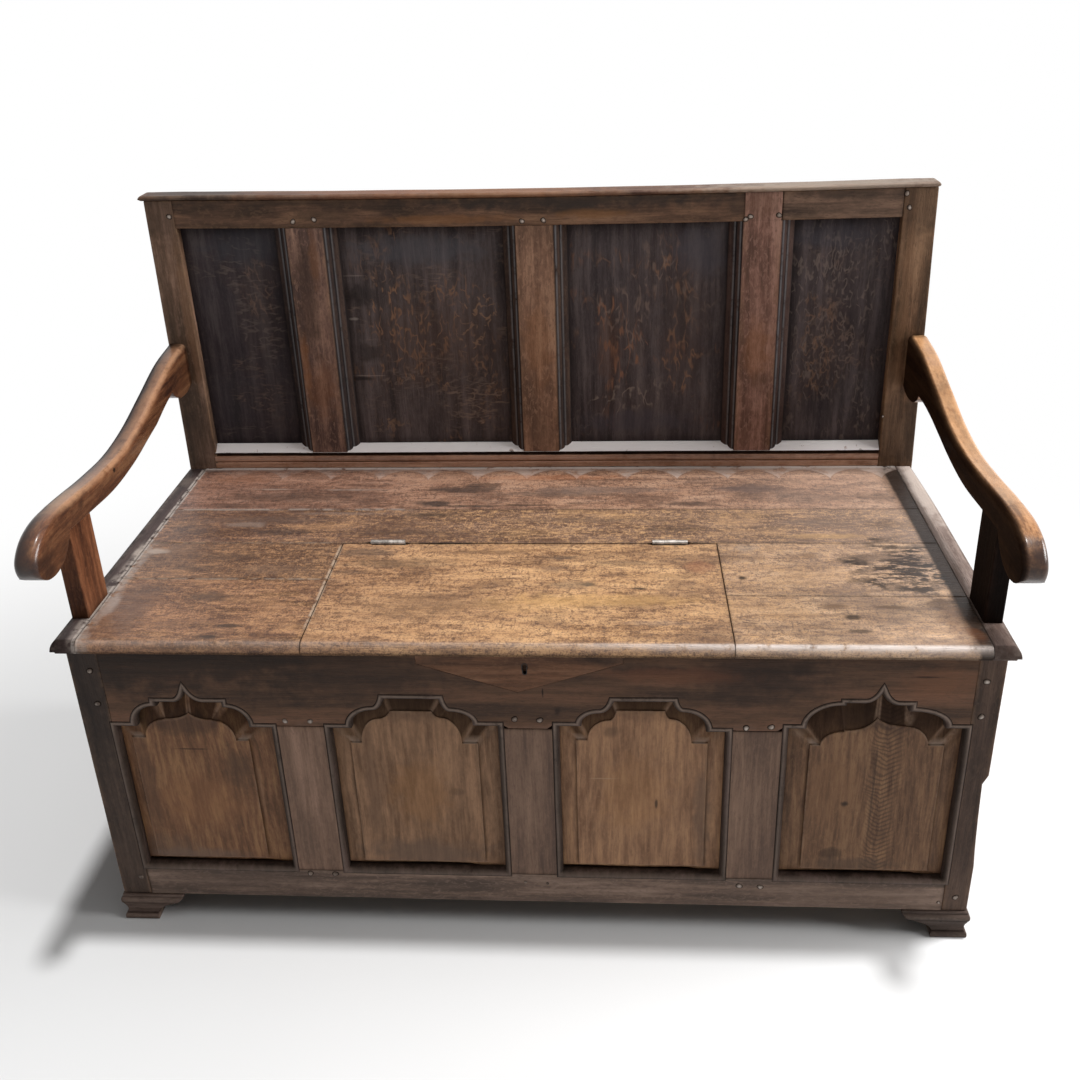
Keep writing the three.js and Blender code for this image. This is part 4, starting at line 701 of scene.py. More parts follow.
rim = by_angle(inward(PATCH, 0.15), KEY_MIDDLE, RIM_POINTS)
hole = keyhole_outline(0.0, RIM_POINTS)
stack = [
    (hole, PATCH_DEPTH), (hole, 0.3), (hole + (rim - hole) * 0.01, 0.0), (hole + (rim - hole) * 0.5, 0.0),
    (rim + (hole - rim) * 0.01, 0.0), (rim, 0.4), (rim, PATCH_DEPTH),
]
loops = laid_at_depths(stack)
rub = np.zeros(loops.shape[:2])
rub[4:6] = 0.8
grime_and_shade = np.zeros(loops.shape[:2])
grime_and_shade[6] = 1.0
grime_and_shade[:2] = 0.9
patch_spots = [((95, 0, 462), (48, 30, 11), "1c1310", 0.75), ((-100, 0, 466), (40, 30, 10), "2a1d17", 0.5),
               # This spot, along the top of the patch, is painted shadow under the seat's nose.
               ((-8, 0, 478), (150, 30, 7), "1c1310", 0.6)]
patch_finish = oak("lock_patch_oak", "x", ("4b3325", "6c4a35", "835f48"), 5, spots=patch_spots,
                   rubbed="7d5c45", rub=0.3)
fitted("lock_patch", loops, "oak_frame", patch_finish, rub, grime_and_shade, ring=True)


def iron(name, tones=("1b1817", "2d2826", "4a3c33"), rough=0.55):
    """Old wrought iron, brown-black, with rusty patches and fine pitting."""
    material, tree, surface = new_material(name)
    place = put(tree, "TexCoord").outputs["Object"]
    patches = cloud(tree, place, 90.0, 4.0, 0.65)
    dark, middle, rust = tones
    colour = ramped(tree, patches, [(0.35, dark), (0.52, middle), (0.7, rust)])
    tree.links.new(colour, surface.inputs["Base Color"])
    tree.links.new(scaled(tree, patches, 0.35, rough - 0.2), surface.inputs["Roughness"])
    surface.inputs["Metallic"].default_value = 0.6
    embossed(tree, surface, cloud(tree, place, 900.0, 3.0), 0.4, 0.0004)
    return material


IRON = iron("wrought_iron")
inner_ring, outer_ring = keyhole_outline(-0.7, LINING_POINTS), keyhole_outline(0.25, LINING_POINTS)
stack = [(inner_ring, 0.0), (outer_ring, -0.15), (outer_ring, PATCH_DEPTH - 0.2),
         (inner_ring, PATCH_DEPTH - 0.2)]
skinned("keyhole_lining", [laid_at_depths(stack)], "base", IRON, ring=True)


# ---- Front muntins ------------------------------------------------------------------------------
# Three short uprights part the four openings. They are plain on the face, lighter than the rails,
# and stand between the rails on stub tenons.

for index, (where, seed) in enumerate((("left", 6), ("middle", 7), ("right", 8))):
    node = f"front_{where}_muntin"
    low = (OPENINGS[index][1], 0.0, SILL + 0.3)
    high = (OPENINGS[index + 1][0], RAIL_BACK, SPRING - 0.3)
    loops, rub, grime_and_shade = squared(low, high, "z", 1.2)
    tones = ("5f4b3f", "785e4e", "8e7160") if where == "left" else ("56433a", "6c5547", "816756")
    finish = oak(f"{where}_muntin_oak", "z", tones, seed, rubbed="957c69", rub=0.35, patches=0.25,
                 mottle=0.25)
    fitted(node, loops, "oak_frame", finish, rub, grime_and_shade)


# ---- Edge mouldings of the front openings -------------------------------------------------------
# Each opening is edged by a small round moulding, worked on the rails, stiles and muntins and mitred
# in every corner. Generations of hands and dusters have rubbed it lighter than the faces.

def moulded_edge(outline, profile):
    """A ring: the profile's inward distances and depths carried round an outline, mitred at its
    corners."""
    return laid_at_depths([(inward(outline, draw), depth) for draw, depth in profile])


turn = np.linspace(0, math.pi / 2, 6)
bead = [(-4.4, 0.6), (-4.0, -0.08), (-3.2, -0.1), (-2.8, -0.3), (-2.0, -1.0), (-0.9, -1.2)]
bead += list(zip(5.0 * np.sin(turn), 4.9 - 6.0 * np.cos(turn)))
bead += [(5.2, 8.0), (5.2, 11.5), (-1.5, 11.5)]
bead_line = np.array([0, 0, 0, 0.1, 0.6, 1, 0.6, 0.15, 0, 0, 0, 0, 0, 0, 0])
sill_line = np.array([0, 0, 0, 0, 0.1, 0.3, 0.35, 0.3, 0.25, 0.2, 0.1, 0, 0, 0, 0])
# Painted shade: dark in the quirk outside the bead and darkening down its inner side towards the panel.
bead_grime_and_shade = np.array([0.8, 0.7, 0.7, 0.5, 0, 0, 0, 0.1, 0.25, 0.35, 0.4, 0.4, 0.45, 0.6, 1])
for index in range(4):
    outline = densified(arched(index, ARCHES, SILL), 7)
    loops = moulded_edge(outline, bead)
    shown = np.interp(outline[:, 1], [SPRING - 20, SPRING], [0.4, 0.9])
    along_sill = (outline[:, 1] < SILL + 3) * 1.0
    line = bead_line[:, None] * shown * (1 - along_sill) + sill_line[:, None] * along_sill
    rub = line * 0.5
    grime_and_shade = bead_grime_and_shade[:, None] * (1 - 0.75 * along_sill * (bead_grime_and_shade < 0.85)[:, None])
    finish = oak(f"edge_moulding_{index + 1}_oak", "z", ("2b221d", "41342c", "574640"), 10 + index,
                 rubbed="8a7667", rub=0.6, grime_and_shade_tint="0d0908", dusty="7d6c61")
    skinned(f"front_edge_moulding_{index + 1}", [hand_worked(loops)], "base", finish,
            traces={"rub": [rub], "grime_and_shade": [grime_and_shade], "dust": [line]}, ring=True, crease=50)


# ---- Front panels -------------------------------------------------------------------------------
# Four raised and fielded panels follow the arches above them: a flat field, a small step and a
# broad bevel with a mitre running out to each corner of the arch. They have shrunk, so that a black
# gap shows along the sill. Panel four is figured with chevrons.

FIELDS = [
    ([0.819, 0.645, -0.361, 0.364, 0.056, 0.33, 0.07], [0.638, 0.481, -0.417, 0.227, 0.042, 0.2, 0.056],
     (-0.054, 0.208)),
    ([0.756, 0.627, -0.431, 0.411, 0.118, 0.264, 0.299], [0.718, 0.536, -0.417, 0.322, 0.153, 0.21, 0.299],
     None),
    ([0.764, 0.632, -0.306, 0.374, 0.139, 0.295, 0.361], [0.758, 0.572, -0.347, 0.33, 0.181, 0.263, 0.361],
     None),
    ([0.706, 0.593, -0.361, 0.339, -0.056, 0.3, -0.03], [0.773, 0.591, -0.333, 0.33, 0.069, 0.3, 0.083],
     (0.009, 0.25)),
]
FIELD_DEPTH = 5.0
TONGUE_DEPTH = 12.4
PANEL_BACK = 16.7
# Where each shrunk panel begins to meet the sill, on the way to the right
SILL_CONTACT = [-362, -75, 228, 532]


def rising(values, start, end):
    """Nought at the start, one at the end, in proportion between, and held beyond them."""
    return np.clip((values - start) / (end - start), 0, 1)


def fielded(index, field, rim):
    """Loops of a raised panel: the field spreads from its middle, rolls over a small step, and a
    slightly hollow bevel runs out to the rim; the back is flat. Painted light, with dust, shows pale
    on the level edges of the field's shoulders and along its foot. Painted shade darkens the step,
    the bevel's edges, and above all the bevel under the arch, except along its mitres."""
    middle = np.array([field[:, 0].mean(), (SILL + SPRING) / 2])
    loops, rub, grime_and_shade, dust = [], [], [], []

    def add(ring, depth, rubbed, dirt_and_shade_share, dusty=0.0):
        loops.append(np.column_stack([ring[:, 0], np.broadcast_to(depth, len(ring)), ring[:, 1]]))
        for rows, value in ((rub, rubbed), (grime_and_shade, dirt_and_shade_share), (dust, dusty)):
            rows.append(np.broadcast_to(value, len(ring)))

    run = np.abs(np.roll(field, -1, axis=0) - np.roll(field, 1, axis=0))
    level = (run[:, 1] < 0.3 * run[:, 0]) & (field[:, 1] < SPRING - 12)
    # Pale level edges of the field: painted light where they face up, with dust.
    shoulder = (level & (field[:, 1] > SILL + 60)) * 0.9
    foot_light = (level & (field[:, 1] < SILL + 24)) * 0.7
    edge_dust = np.maximum(shoulder, foot_light)
    near_foot = np.clip((SILL + 24 - field[:, 1]) / 6, 0, 1)

    for share in (0.0, 0.12, 0.26, 0.4, 0.54, 0.66, 0.77, 0.86, 0.93, 0.97):
        ring = middle + (field - middle) * share
        solid = np.column_stack([ring[:, 0], np.zeros(len(ring)), ring[:, 1]])
        add(ring, FIELD_DEPTH + 0.5 * wander(solid, 60, 220, 30 + index) * (1 - share ** 4), 0.0, 0.0)
    add(field + (middle - field) * 0.008, FIELD_DEPTH, 0.4, 0.0)
    add(field, FIELD_DEPTH + 0.6, 0.9, 0.0, edge_dust)
    # The step at the field's border is darkened as painted shade.
    add(field, FIELD_DEPTH + 1.8, 0.2, 0.7 * (1 - edge_dust) * (1 - near_foot), edge_dust)
    # Painted shade on the bevel under the arch.
    under_arch = np.clip((rim[:, 1] - (SPRING - 6)) / 14, 0, 1)
    ahead, behind = np.roll(rim, -2, axis=0) - rim, rim - np.roll(rim, 2, axis=0)
    turning = np.abs(ahead[:, 0] * behind[:, 1] - ahead[:, 1] * behind[:, 0])
    turning /= np.linalg.norm(ahead, axis=1) * np.linalg.norm(behind, axis=1) + 1e-9
    mitre = rising(turning, 0.45, 0.75) * under_arch
    for share in (0.02, 0.12, 0.3, 0.5, 0.7, 0.85, 0.94, 1.0):
        ring = field + (rim - field) * share
        fall = share * 0.8 + 0.2 * share ** 2
        depth = FIELD_DEPTH + 2.5 + (TONGUE_DEPTH - FIELD_DEPTH - 2.5) * fall
        # Painted shade along the bevel's edge at the step, deepening towards the rim.
        dirt_and_shade = 0.55 if share < 0.03 else 0.4 * max(0.0, share - 0.8) / 0.2
        dirt_and_shade = np.maximum(dirt_and_shade, under_arch * (0.7 + 0.25 * share)) * (1 - 0.75 * mitre)
        ledge = edge_dust * max(0.0, 1 - share / 0.2)
        add(ring, depth, 0.9 * mitre, dirt_and_shade * (1 - 0.7 * near_foot) * (1 - ledge), ledge)
    add(rim, PANEL_BACK, 0.0, 1.0)
    add(np.broadcast_to(middle, rim.shape), PANEL_BACK, 0.0, 0.0)
    return [np.array(rows) for rows in (loops, rub, grime_and_shade, dust)]


def chevrons(tree, place, colour):
    """Herringbone figure down the middle of a board: bands that rise away from the board's heart
    on both sides, dark against light, and fade out sideways."""
    parts = put(tree, "SeparateXYZ", place).outputs
    waver = times(tree, minus(tree, cloud(tree, place, 30.0, 3.0), 0.5), 0.02)
    across = sum_up(tree, "ABSOLUTE", plus(tree, minus(tree, parts[0], 0.468), waver))
    slope = scaled(tree, across, -0.6, parts[2])
    phase = scaled(tree, plus(tree, slope, waver), 2 * math.pi / 0.0075, 0.0)
    bands = eased(tree, sum_up(tree, "SINE", phase), -0.4, 0.9)
    fade = flipped(tree, eased(tree, across, 0.008, 0.028))
    return laid(tree, colour, "35271f", bands, fade, 0.5)


# The first spot of each panel is painted shadow under its arch.
panel_looks = [
    (("5c402d", "75523b", "8e6949"), 0.05, 21, None, [
        ((-464, 5, 352), (70, 30, 26), "3f2e25", 0.6), ((-462, 5, 220), (70, 30, 60), "8a5f3f", 0.35),
        ((-530, 5, 240), (16, 30, 120), "4a3529", 0.5),
        ((-400, 5, 275), (26, 30, 46), "4a382c", 0.6), ((-457, 5, 308), (30, 30, 1.4), "2a1d16", 0.7),
        ((-374, 5, 240), (5, 30, 60), "94735a", 0.35), ((-520, 5, 130), (60, 30, 30), "5d4a3e", 0.5),
        ((-480, 5, 120), (90, 30, 14), "6b5a50", 0.5)]),
    (("674c38", "81624a", "967358"), 0.02, 22, None, [
        ((-158, 5, 385), (80, 30, 30), "4b382c", 0.6), ((-150, 5, 240), (50, 30, 70), "94683f", 0.35),
        ((-215, 5, 240), (14, 30, 130), "5a4334", 0.5),
        ((-150, 5, 130), (110, 30, 30), "5c4b41", 0.6), ((-100, 5, 240), (14, 30, 8), "3b2c22", 0.35)]),
    (("73533d", "8d6a50", "a37c5c"), 0.02, 23, None, [
        ((150, 5, 388), (80, 30, 30), "5a4233", 0.55), ((140, 5, 240), (60, 30, 80), "9d7148", 0.3),
        ((98, 5, 267), (24, 30, 1.4), "a58a70", 0.5), ((170, 5, 225), (2.5, 30, 10), "2b1f18", 0.8),
        ((232, 9, 200), (16, 30, 120), "57463c", 0.5), ((110, 5, 345), (12, 30, 12), "4a382c", 0.5)]),
    (("543c2c", "6e513c", "846449"), 0.03, 24, chevrons, [
        ((455, 5, 372), (90, 30, 26), "3c2b21", 0.6), ((400, 5, 250), (50, 30, 70), "7d5b40", 0.35),
        ((420, 5, 230), (7, 30, 6), "241a15", 0.8), ((408, 5, 143), (20, 30, 12), "33271f", 0.6),
        ((455, 5, 230), (2, 30, 120), "3b2d24", 0.5), ((440, 5, 125), (80, 30, 14), "4a3c33", 0.5)]),
]
for index, (tones, waver, seed, extra, spots) in enumerate(panel_looks):
    rim = arched(index, ARCHES, SILL + 4.0, 2.5)
    raised = arched(index, FIELDS, SILL + 16.5)
    rim_dense = densified(rim, 7)
    field_dense = densified(raised, 7, like=rim)
    foot = rim_dense[:, 1] < SILL + 8
    shrunk = 1 - rising(rim_dense[:, 0] - SILL_CONTACT[index], -12, 0)
    lift = 3.2 * shrunk + 0.9 * np.sin(rim_dense[:, 0] / 31)
    rim_dense[foot, 1] += lift[foot]
    loops, rub, grime_and_shade, dust = fielded(index, field_dense, rim_dense)
    node = f"front_panel_{index + 1}"
    finish = oak(f"{node}_oak", "z", tones, seed, waver=waver, spots=spots, extra=extra, rubbed="957a65",
                 rub=0.7, relief=0.35, grime_and_shade=0.88, patches=0.4, mottle=0.28, pores=0.3, fibre=0.3,
                 grime_and_shade_tint="1b1310", dusty="9d8a7b", bands=(13.0, 120.0, 120.0))
    fitted(node, hand_worked(loops), "oak_panel", finish, rub, grime_and_shade, dust=dust, crease=28)


# ---- Pegs of the front --------------------------------------------------------------------------
# Cleft oak pegs draw every joint tight. Their heads stand a little proud, rubbed light, each in a
# ring of old dirt.

def peg_shell(centre, facing, radius, seed):
    """Loops of one peg's head: a low dome, then a thin skirt of dirt that lies on the wood round
    it; the radius wanders so that no head is a true circle."""
    angle = np.linspace(0, 2 * math.pi, 18, endpoint=False)
    draws = np.random.default_rng(seed)
    shape = 1 + 0.1 * np.cos(2 * angle + draws.uniform(0, 6)) + 0.05 * np.cos(3 * angle + draws.uniform(0, 6))
    rows = [(0.0, 1.5), (0.35, 1.45), (0.65, 1.2), (0.88, 0.8), (1.0, 0.25), (1.02, 0.12), (1.22, 0.1),
            (1.26, -0.6), (0.0, -0.6)]
    loops = []
    for share, height in rows:
        u, v = radius * share * shape * np.cos(angle), radius * share * shape * np.sin(angle)
        w = np.full_like(u, height)
        loops.append({"front": np.stack([u, -w, v], -1), "side": np.stack([w, u, v], -1)}[facing] + centre)
    rub = np.tile(np.array([1, 0.9, 0.3, 0, 0, 0, 0, 0, 0])[:, None], (1, 18))
    grime_and_shade = np.tile(np.array([0, 0, 0, 0.1, 0.8, 1, 1, 1, 1])[:, None], (1, 18))
    return np.array(loops), rub, grime_and_shade


def pegs(name, places, depth, radius, seed, finish):
    """All the pegs of one face as one piece."""
    shells, rubs, grime_and_shade_sets = zip(*[
        peg_shell(np.array([x, depth, z]), "front", radius, seed + i) for i, (x, z) in enumerate(places)])
    return skinned(name, shells, "base", finish, traces={"rub": rubs, "grime_and_shade": grime_and_shade_sets},
                   crease=60)


PEG_OAK = oak("peg_oak", "z", ("4a3d35", "6b5c52", "8c7d72"), 40, rubbed="c9beb4", rub=0.9, grime_and_shade_tint="0c0807",
              grime_and_shade=0.9)
front_pegs = [
    (-573, 439), (-573, 386), (-569, 79), (-322, 361), (-288, 361), (-319, 92), (-283, 92), (-16, 368),
    (17, 367), (284, 358), (316, 360), (286, 85), (315, 84), (578, 434), (578, 380), (582, 72),
]
pegs("front_pegs", front_pegs, 0.0, 3.8, 100, PEG_OAK)
pegs("front_small_pegs", [(-12, 84), (19, 82), (560, 62)], 0.0, 2.2, 150, PEG_OAK)


# ---- Sides, rear posts and back of the chest ----------------------------------------------------
# The sides are framed like the front, each with one fielded panel. The rear posts run up in one
# length to carry the settle's back. Behind, where nobody looks, the chest is closed with a plain
# panel between plain rails, and the oak is dry and grey.

SIDE_TONES = ("3d2f28", "58463b", "745e50")
CHEST_HALF = 600.0
SEAT_TOP = 500.0
BACK_PLANE = 480.0


def on_back(rows, face=BACK_PLANE, deep=60):
    """Stains, painted shadows and painted reflections on an upright face of the settle's back: each
    row has a place across and up, a reach across and up, a colour and a strength."""
    return [((x, face, z), (across, deep, up), code, strength) for x, z, across, up, code, strength in rows]


def racked(points):
    """The right post tapers upwards: from the seat up, its outer edge stands in by up to seven
    millimetres, and the right half of the back has sunk by up to two and a half."""
    rise = rising(points[..., 2], 505, 960) * rising(points[..., 0], -200, 560)
    leaning = points.copy()
    leaning[..., 0] -= 7.0 * rise * rising(points[..., 0], 548, 598)
    leaning[..., 2] -= 2.5 * rise
    return leaning


for side, sign, seed in (("left", -1, 50), ("right", 1, 54)):
    stile_back = span(f"front_{side}_stile")[1][1]
    post = span(f"rear_{side}_post")
    for place, shift in (("top", 0), ("bottom", 1)):
        node = f"{side}_side_{place}_rail"
        low, high = span(node)
        low[1], high[1] = stile_back + 0.3, post[0][1] - 0.3
        loops, rub, grime_and_shade = squared(low, high, "y", 1.4)
        finish = oak(f"{node}_oak", "y", SIDE_TONES, seed + shift)
        fitted(node, loops, "oak_frame", finish, rub, grime_and_shade)
    post_low, post_high = post
    loops, rub, grime_and_shade = squared(post_low, post_high, "z", 2.0, butted=False)
    if side == "left":
        slimmer = 6 + 4 * rising(loops[..., 2], 540, 940)
        loops[..., 0] -= np.where((loops[..., 0] > -575) & (loops[..., 2] > SEAT_TOP), slimmer, 0.0)
    spots = on_back([
        (sign * 572, 560, 60, 90, "241a16", 0.5), (sign * 572, 930, 70, 60, "2d221c", 0.5),
        (sign * 590, 700, 16, 260, "36291f", 0.45), (sign * 560, 780, 10, 150, "86644a", 0.4),
    ])
    tones = ("503e31", "755b4a", "987a68") if side == "left" else ("4c3929", "6f533e", "917157")
    finish = oak(f"{side}_post_oak", "z", tones, seed + 2, spots=spots, rubbed="8f7156", waver=0.02,
                 patches=0.5)
    fitted(f"rear_{side}_post", racked(loops), "oak_back", finish, rub, grime_and_shade)


def side_panel_loops(side, sign):
    """Loops of a fielded side panel: nested rectangles, flat in the middle, stepped, and bevelled
    out to the groove."""
    low, high = span(f"{side}_side_panel")
    corners = np.array([(low[1], low[2]), (high[1], low[2]), (high[1], high[2]), (low[1], high[2])])
    rim = densified(corners, 12)
    middle = corners.mean(axis=0)
    half = (corners[2] - corners[0]) / 2
    field = (rim - middle) * (1 - 37.5 / half)
    rings = [field * share for share in (0.0, 0.25, 0.5, 0.75, 0.92, 0.99)]
    depths = [5.0] * 6
    rings += [field, field, rim - middle, rim - middle, np.zeros_like(rim)]
    depths += [5.6, 7.5, 12.4, 16.7, 16.7]
    loops = [np.column_stack([np.full(len(ring), sign * (CHEST_HALF - depth)), ring + middle])
             for ring, depth in zip(rings, depths)]
    rub = np.zeros((len(loops), len(rim)))
    rub[6] = 0.8
    grime_and_shade = np.zeros_like(rub)
    grime_and_shade[7:9] = 0.6
    return np.array(loops), rub, grime_and_shade


for side, sign, seed in (("left", -1, 60), ("right", 1, 61)):
    loops, rub, grime_and_shade = side_panel_loops(side, sign)
    node = f"{side}_side_panel"
    finish = oak(f"{node}_oak", "z", ("4a382c", "69503f", "876a54"), seed, waver=0.03)
    fitted(node, hand_worked(loops), "oak_panel", finish, rub, grime_and_shade, crease=28)

post_inner = span("rear_right_post")[0][0]
for node, seed in (("base_back_top_rail", 64), ("base_back_bottom_rail", 65), ("base_back_panel", 66)):
    low, high = span(node)
    if node.endswith("rail"):
        low[0], high[0] = -post_inner + 0.3, post_inner - 0.3
    loops, rub, grime_and_shade = squared(low, high, "x", 1.2, pitch=20)
    finish = oak(f"{node}_oak", "x", ("4f4337", "6f6050", "8d7d69"), seed, rough=(0.6, 0.85), rubbed="9a8a76",
                 rub=0.3)
    fitted(node, loops, "oak_frame", finish, rub, grime_and_shade)


# ---- Bracket feet -------------------------------------------------------------------------------
# Two moulded feet carry the front corners: a roll under the chest, a hollow waist and a flat pad.
# A bracket curves back up to the rail from each.

FOOT_HEIGHTS = [0, 0.8, 2.5, 5, 7.5, 8.6, 9.4, 12, 16, 20, 24, 27.5, 30, 31.2, 31.8, 34, 37, 40, 41.4, 42.2,
                44.5, 46, 46.7]
FOOT_PROUD = [2.6, 3.6, 4.2, 4.2, 3.9, 2.6, 0.6, 0.2, 0.0, 0.4, 1.4, 2.8, 3.4, 3.4, 4.3, 5.0, 5.2, 4.8, 3.6,
              2.4, 2.2, 2.2, 1.4]
FOOT_REACH = [45, 46, 46.5, 46.5, 46, 45, 44, 45, 48, 53, 59, 66, 72, 75, 77, 80, 83, 86, 87, 88, 88, 88,
              87.5]
FIXED_RING = rounded_rectangle(1.0, 1.0, 0.03, 0.12)
FIXED_RING = FIXED_RING[np.r_[True, np.linalg.norm(np.diff(FIXED_RING, axis=0), axis=1) > 1e-6]]


def bell(values, middle, width):
    """A smooth peak: one in the middle, falling away as a bell to either side."""
    return np.exp(-((values - middle) / width) ** 2)


def foot_stack(sign):
    """The foot's loops all cut to one number of points."""
    stack = []
    for height, proud, reach in zip(FOOT_HEIGHTS, FOOT_PROUD, FOOT_REACH):
        back = 46 + (reach - 46) * 0.6
        half = np.array([(reach + proud) / 2, (back + proud) / 2])
        ring = FIXED_RING * half + half - [CHEST_HALF + proud, proud]
        stack.append(np.column_stack([ring[:, 0] * -sign, ring[:, 1], np.full(len(ring), height)]))
    return np.array(stack)


for side, sign, seed in (("left", -1, 70), ("right", 1, 71)):
    node = f"front_{side}_foot"
    loops = foot_stack(sign)
    z = loops[..., 2]
    grime_and_shade = bell(z, 31.5, 0.7) + bell(z, 9.8, 0.8) + bell(z, 42.6, 0.6) * 0.8
    rub = bell(z, 37.0, 3) * 0.5 + bell(z, 5.0, 3) * 0.6
    tones = ("3b2e25", "55453d", "705e55") if side == "left" else ("2d231d", "40342e", "54463f")
    finish = oak(f"{side}_foot_oak", "x", tones, seed, rubbed="94806f", rub=0.55,
                 spots=[((sign * 566, -3, 31), (3, 12, 3), "0c0807", 0.9)] if sign > 0 else ())
    fitted(node, hand_worked(loops, 0.25), "oak_frame", finish, np.clip(rub, 0, 1), np.clip(grime_and_shade, 0, 1),
           crease=50)


# ---- Floor of the chest -------------------------------------------------------------------------
# Two wide boards lie in a groove round the inside of the chest. Nobody has waxed them, and they
# show pale and dusty when the lid is up.

def shown_in(finish, *nodes):
    """Pieces of the frame that are seen as they are, in a finish."""
    for node in nodes:
        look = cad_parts[node].data.materials
        look.clear()
        look.append(finish)


INSIDE_TONES = ("5f4d3b", "7d6852", "9c876d")
for node, seed in (("floor_front_board", 80), ("floor_rear_board", 81), ("seat_left_bearer", 82),
                   ("seat_right_bearer", 83)):
    run = "x" if node.startswith("floor") else "y"
    shown_in(oak(f"{node}_oak", run, INSIDE_TONES, seed, rough=(0.65, 0.9), relief=0.5), node)


# ---- Seat boards and lid ------------------------------------------------------------------------
# The seat is made of wide oak boards in three rows, and the middle of the front rows is the lid.
# The front edge is worked to a thumb moulding. Two and a half centuries of sitting have worn the
# boards to a golden brown, stained dark towards the back, with dust in the joints.

SEAT_UNDER = 480.0
SEAT_HALF = 606
SEAT_PITCH = 9.0
SEAT_FRONT = -24.0


def nose(steps=8):
    """The thumb moulding from below: a small fillet, then a quarter of an oval up to the top."""
    turn = np.linspace(0, math.pi / 2, steps + 1)
    oval = np.stack([10.5 * (1 - np.cos(turn)), 5 + 15 * np.sin(turn)], -1)
    return np.concatenate([[(4.4, 0.0), (4.0, 0.4), (4.0, 4.6), (3.4, 5.0), (0.5, 5.0)], oval])


def seat_section(front, back, nosed, pitch):
    """Closed section of a seat board from the side: underside, front, worn top, back."""
    length = back - front
    start = 10.5 if nosed else 1.0
    places = [start + m for m in (0.8, 2.0, 4.5)]
    inner = np.linspace(start + 9, length - 9, max(2, int(round((length - start - 18) / pitch)) + 1))
    top_y = np.concatenate([places, inner, [length - 4.5, length - 2.0, length - 1.0]])
    top = np.stack([front + top_y, np.full_like(top_y, SEAT_TOP)], -1)
    if nosed:
        edge = nose() + [front, SEAT_UNDER]
    else:
        edge = np.array([(0.6, 0.0), (0.0, 0.6), (0.0, 10.0), (0.0, 19.0), (0.3, 19.6),
                         (1.0, 20.0)]) + [front, SEAT_UNDER]
    rear = np.array([(-0.3, 19.6), (0.0, 19.0), (0.0, 10.0), (0.0, 0.6), (-0.6, 0.0)]) + [back, SEAT_UNDER]
    under = np.linspace(back - 5, front + 9, 6)
    return np.concatenate([edge, top, rear, np.stack([under, np.full(6, SEAT_UNDER)], -1)])


def seat_board(node, nosed, seed, dish=0.0):
    """Loops of one seat board, with its rub and grime. The section is carried from end to end and
    its arrises drawn in there; the worn top sinks by a slow unevenness, and by the dish in the
    middle of the seat."""
    (low_x, front, _), (high_x, back, _) = span(node)
    section = seat_section(front, back, nosed, SEAT_PITCH)
    places, inset = end_stations(low_x, high_x, 0.8, SEAT_PITCH, steps=2)
    loops = np.empty((len(places), len(section), 3))
    loops[..., 0] = places[:, None]
    loops[..., 1] = section[:, 0]
    loops[..., 2] = section[:, 1]
    top = loops[..., 2] > SEAT_TOP - 0.5
    loops[..., 2] -= np.where(loops[..., 2] > SEAT_TOP - 6, inset[:, None], 0.0)
    worn = 0.35 * wander(loops, 40, 130, 200 + seed) + 0.3 * wander(loops, 14, 40, 230 + seed)
    sag = dish * bell(loops[..., 0], 0, 330) * bell(loops[..., 1], 180, 160)
    loops[..., 2] += np.where(top, worn - 0.45 - sag, 0.0)
    fray = wander(loops * [1, 0, 0], 6, 60, 260 + seed)
    if nosed:
        front_zone = np.clip((front + 12 - loops[..., 1]) / 12, 0, 1)
        loops[..., 1] += front_zone * 0.5 * (fray + 0.4)
    from_end = np.minimum(places - low_x, high_x - places)[:, None]
    from_back = np.maximum(back - loops[..., 1], 0)
    from_front = np.full_like(from_back, 99.0) if nosed else np.maximum(loops[..., 1] - front, 0)
    gap = np.minimum(np.minimum(from_end, from_back), from_front)
    grime_and_shade = np.where(top, 0.75 * np.exp(-gap / 1.3), 0.6)
    rub = np.zeros_like(grime_and_shade)
    if nosed:
        nose_zone = bell(loops[..., 1] - front, 7, 6) * (loops[..., 2] > SEAT_UNDER + 9)
        rub = nose_zone
        # The front of the thumb moulding is darkened a little as painted shade.
        nose_face = (loops[..., 1] < front + 9) & (loops[..., 2] > SEAT_UNDER + 6)
        grime_and_shade = np.where(loops[..., 2] > SEAT_UNDER + 6, grime_and_shade * top, 0.75)
        grime_and_shade = np.where(nose_face, np.maximum(grime_and_shade, 0.2), grime_and_shade)
        grime_and_shade = np.maximum(grime_and_shade, np.exp(-from_end / 1.2) * 0.8)
    return loops, rub, grime_and_shade


HINGE_MIDDLE = -9
HINGE_APART = 410
KNUCKLES_HALF = 26


def by_hinge(loops):
    """The points in line with the knuckles of either hinge."""
    return np.abs(np.abs(loops[..., 0] - HINGE_MIDDLE) - HINGE_APART / 2) < KNUCKLES_HALF


def nose_highlight(loops):
    """Painted highlight along the upper round of the front moulding, from the middle of the lid to
    the right end."""
    ridge = bell(loops[..., 1] - SEAT_FRONT, 4.8, 2.6) * (loops[..., 2] > SEAT_UNDER + 8)
    return 0.95 * ridge * np.clip((loops[..., 0] + 20) / 330, 0.14, 1)


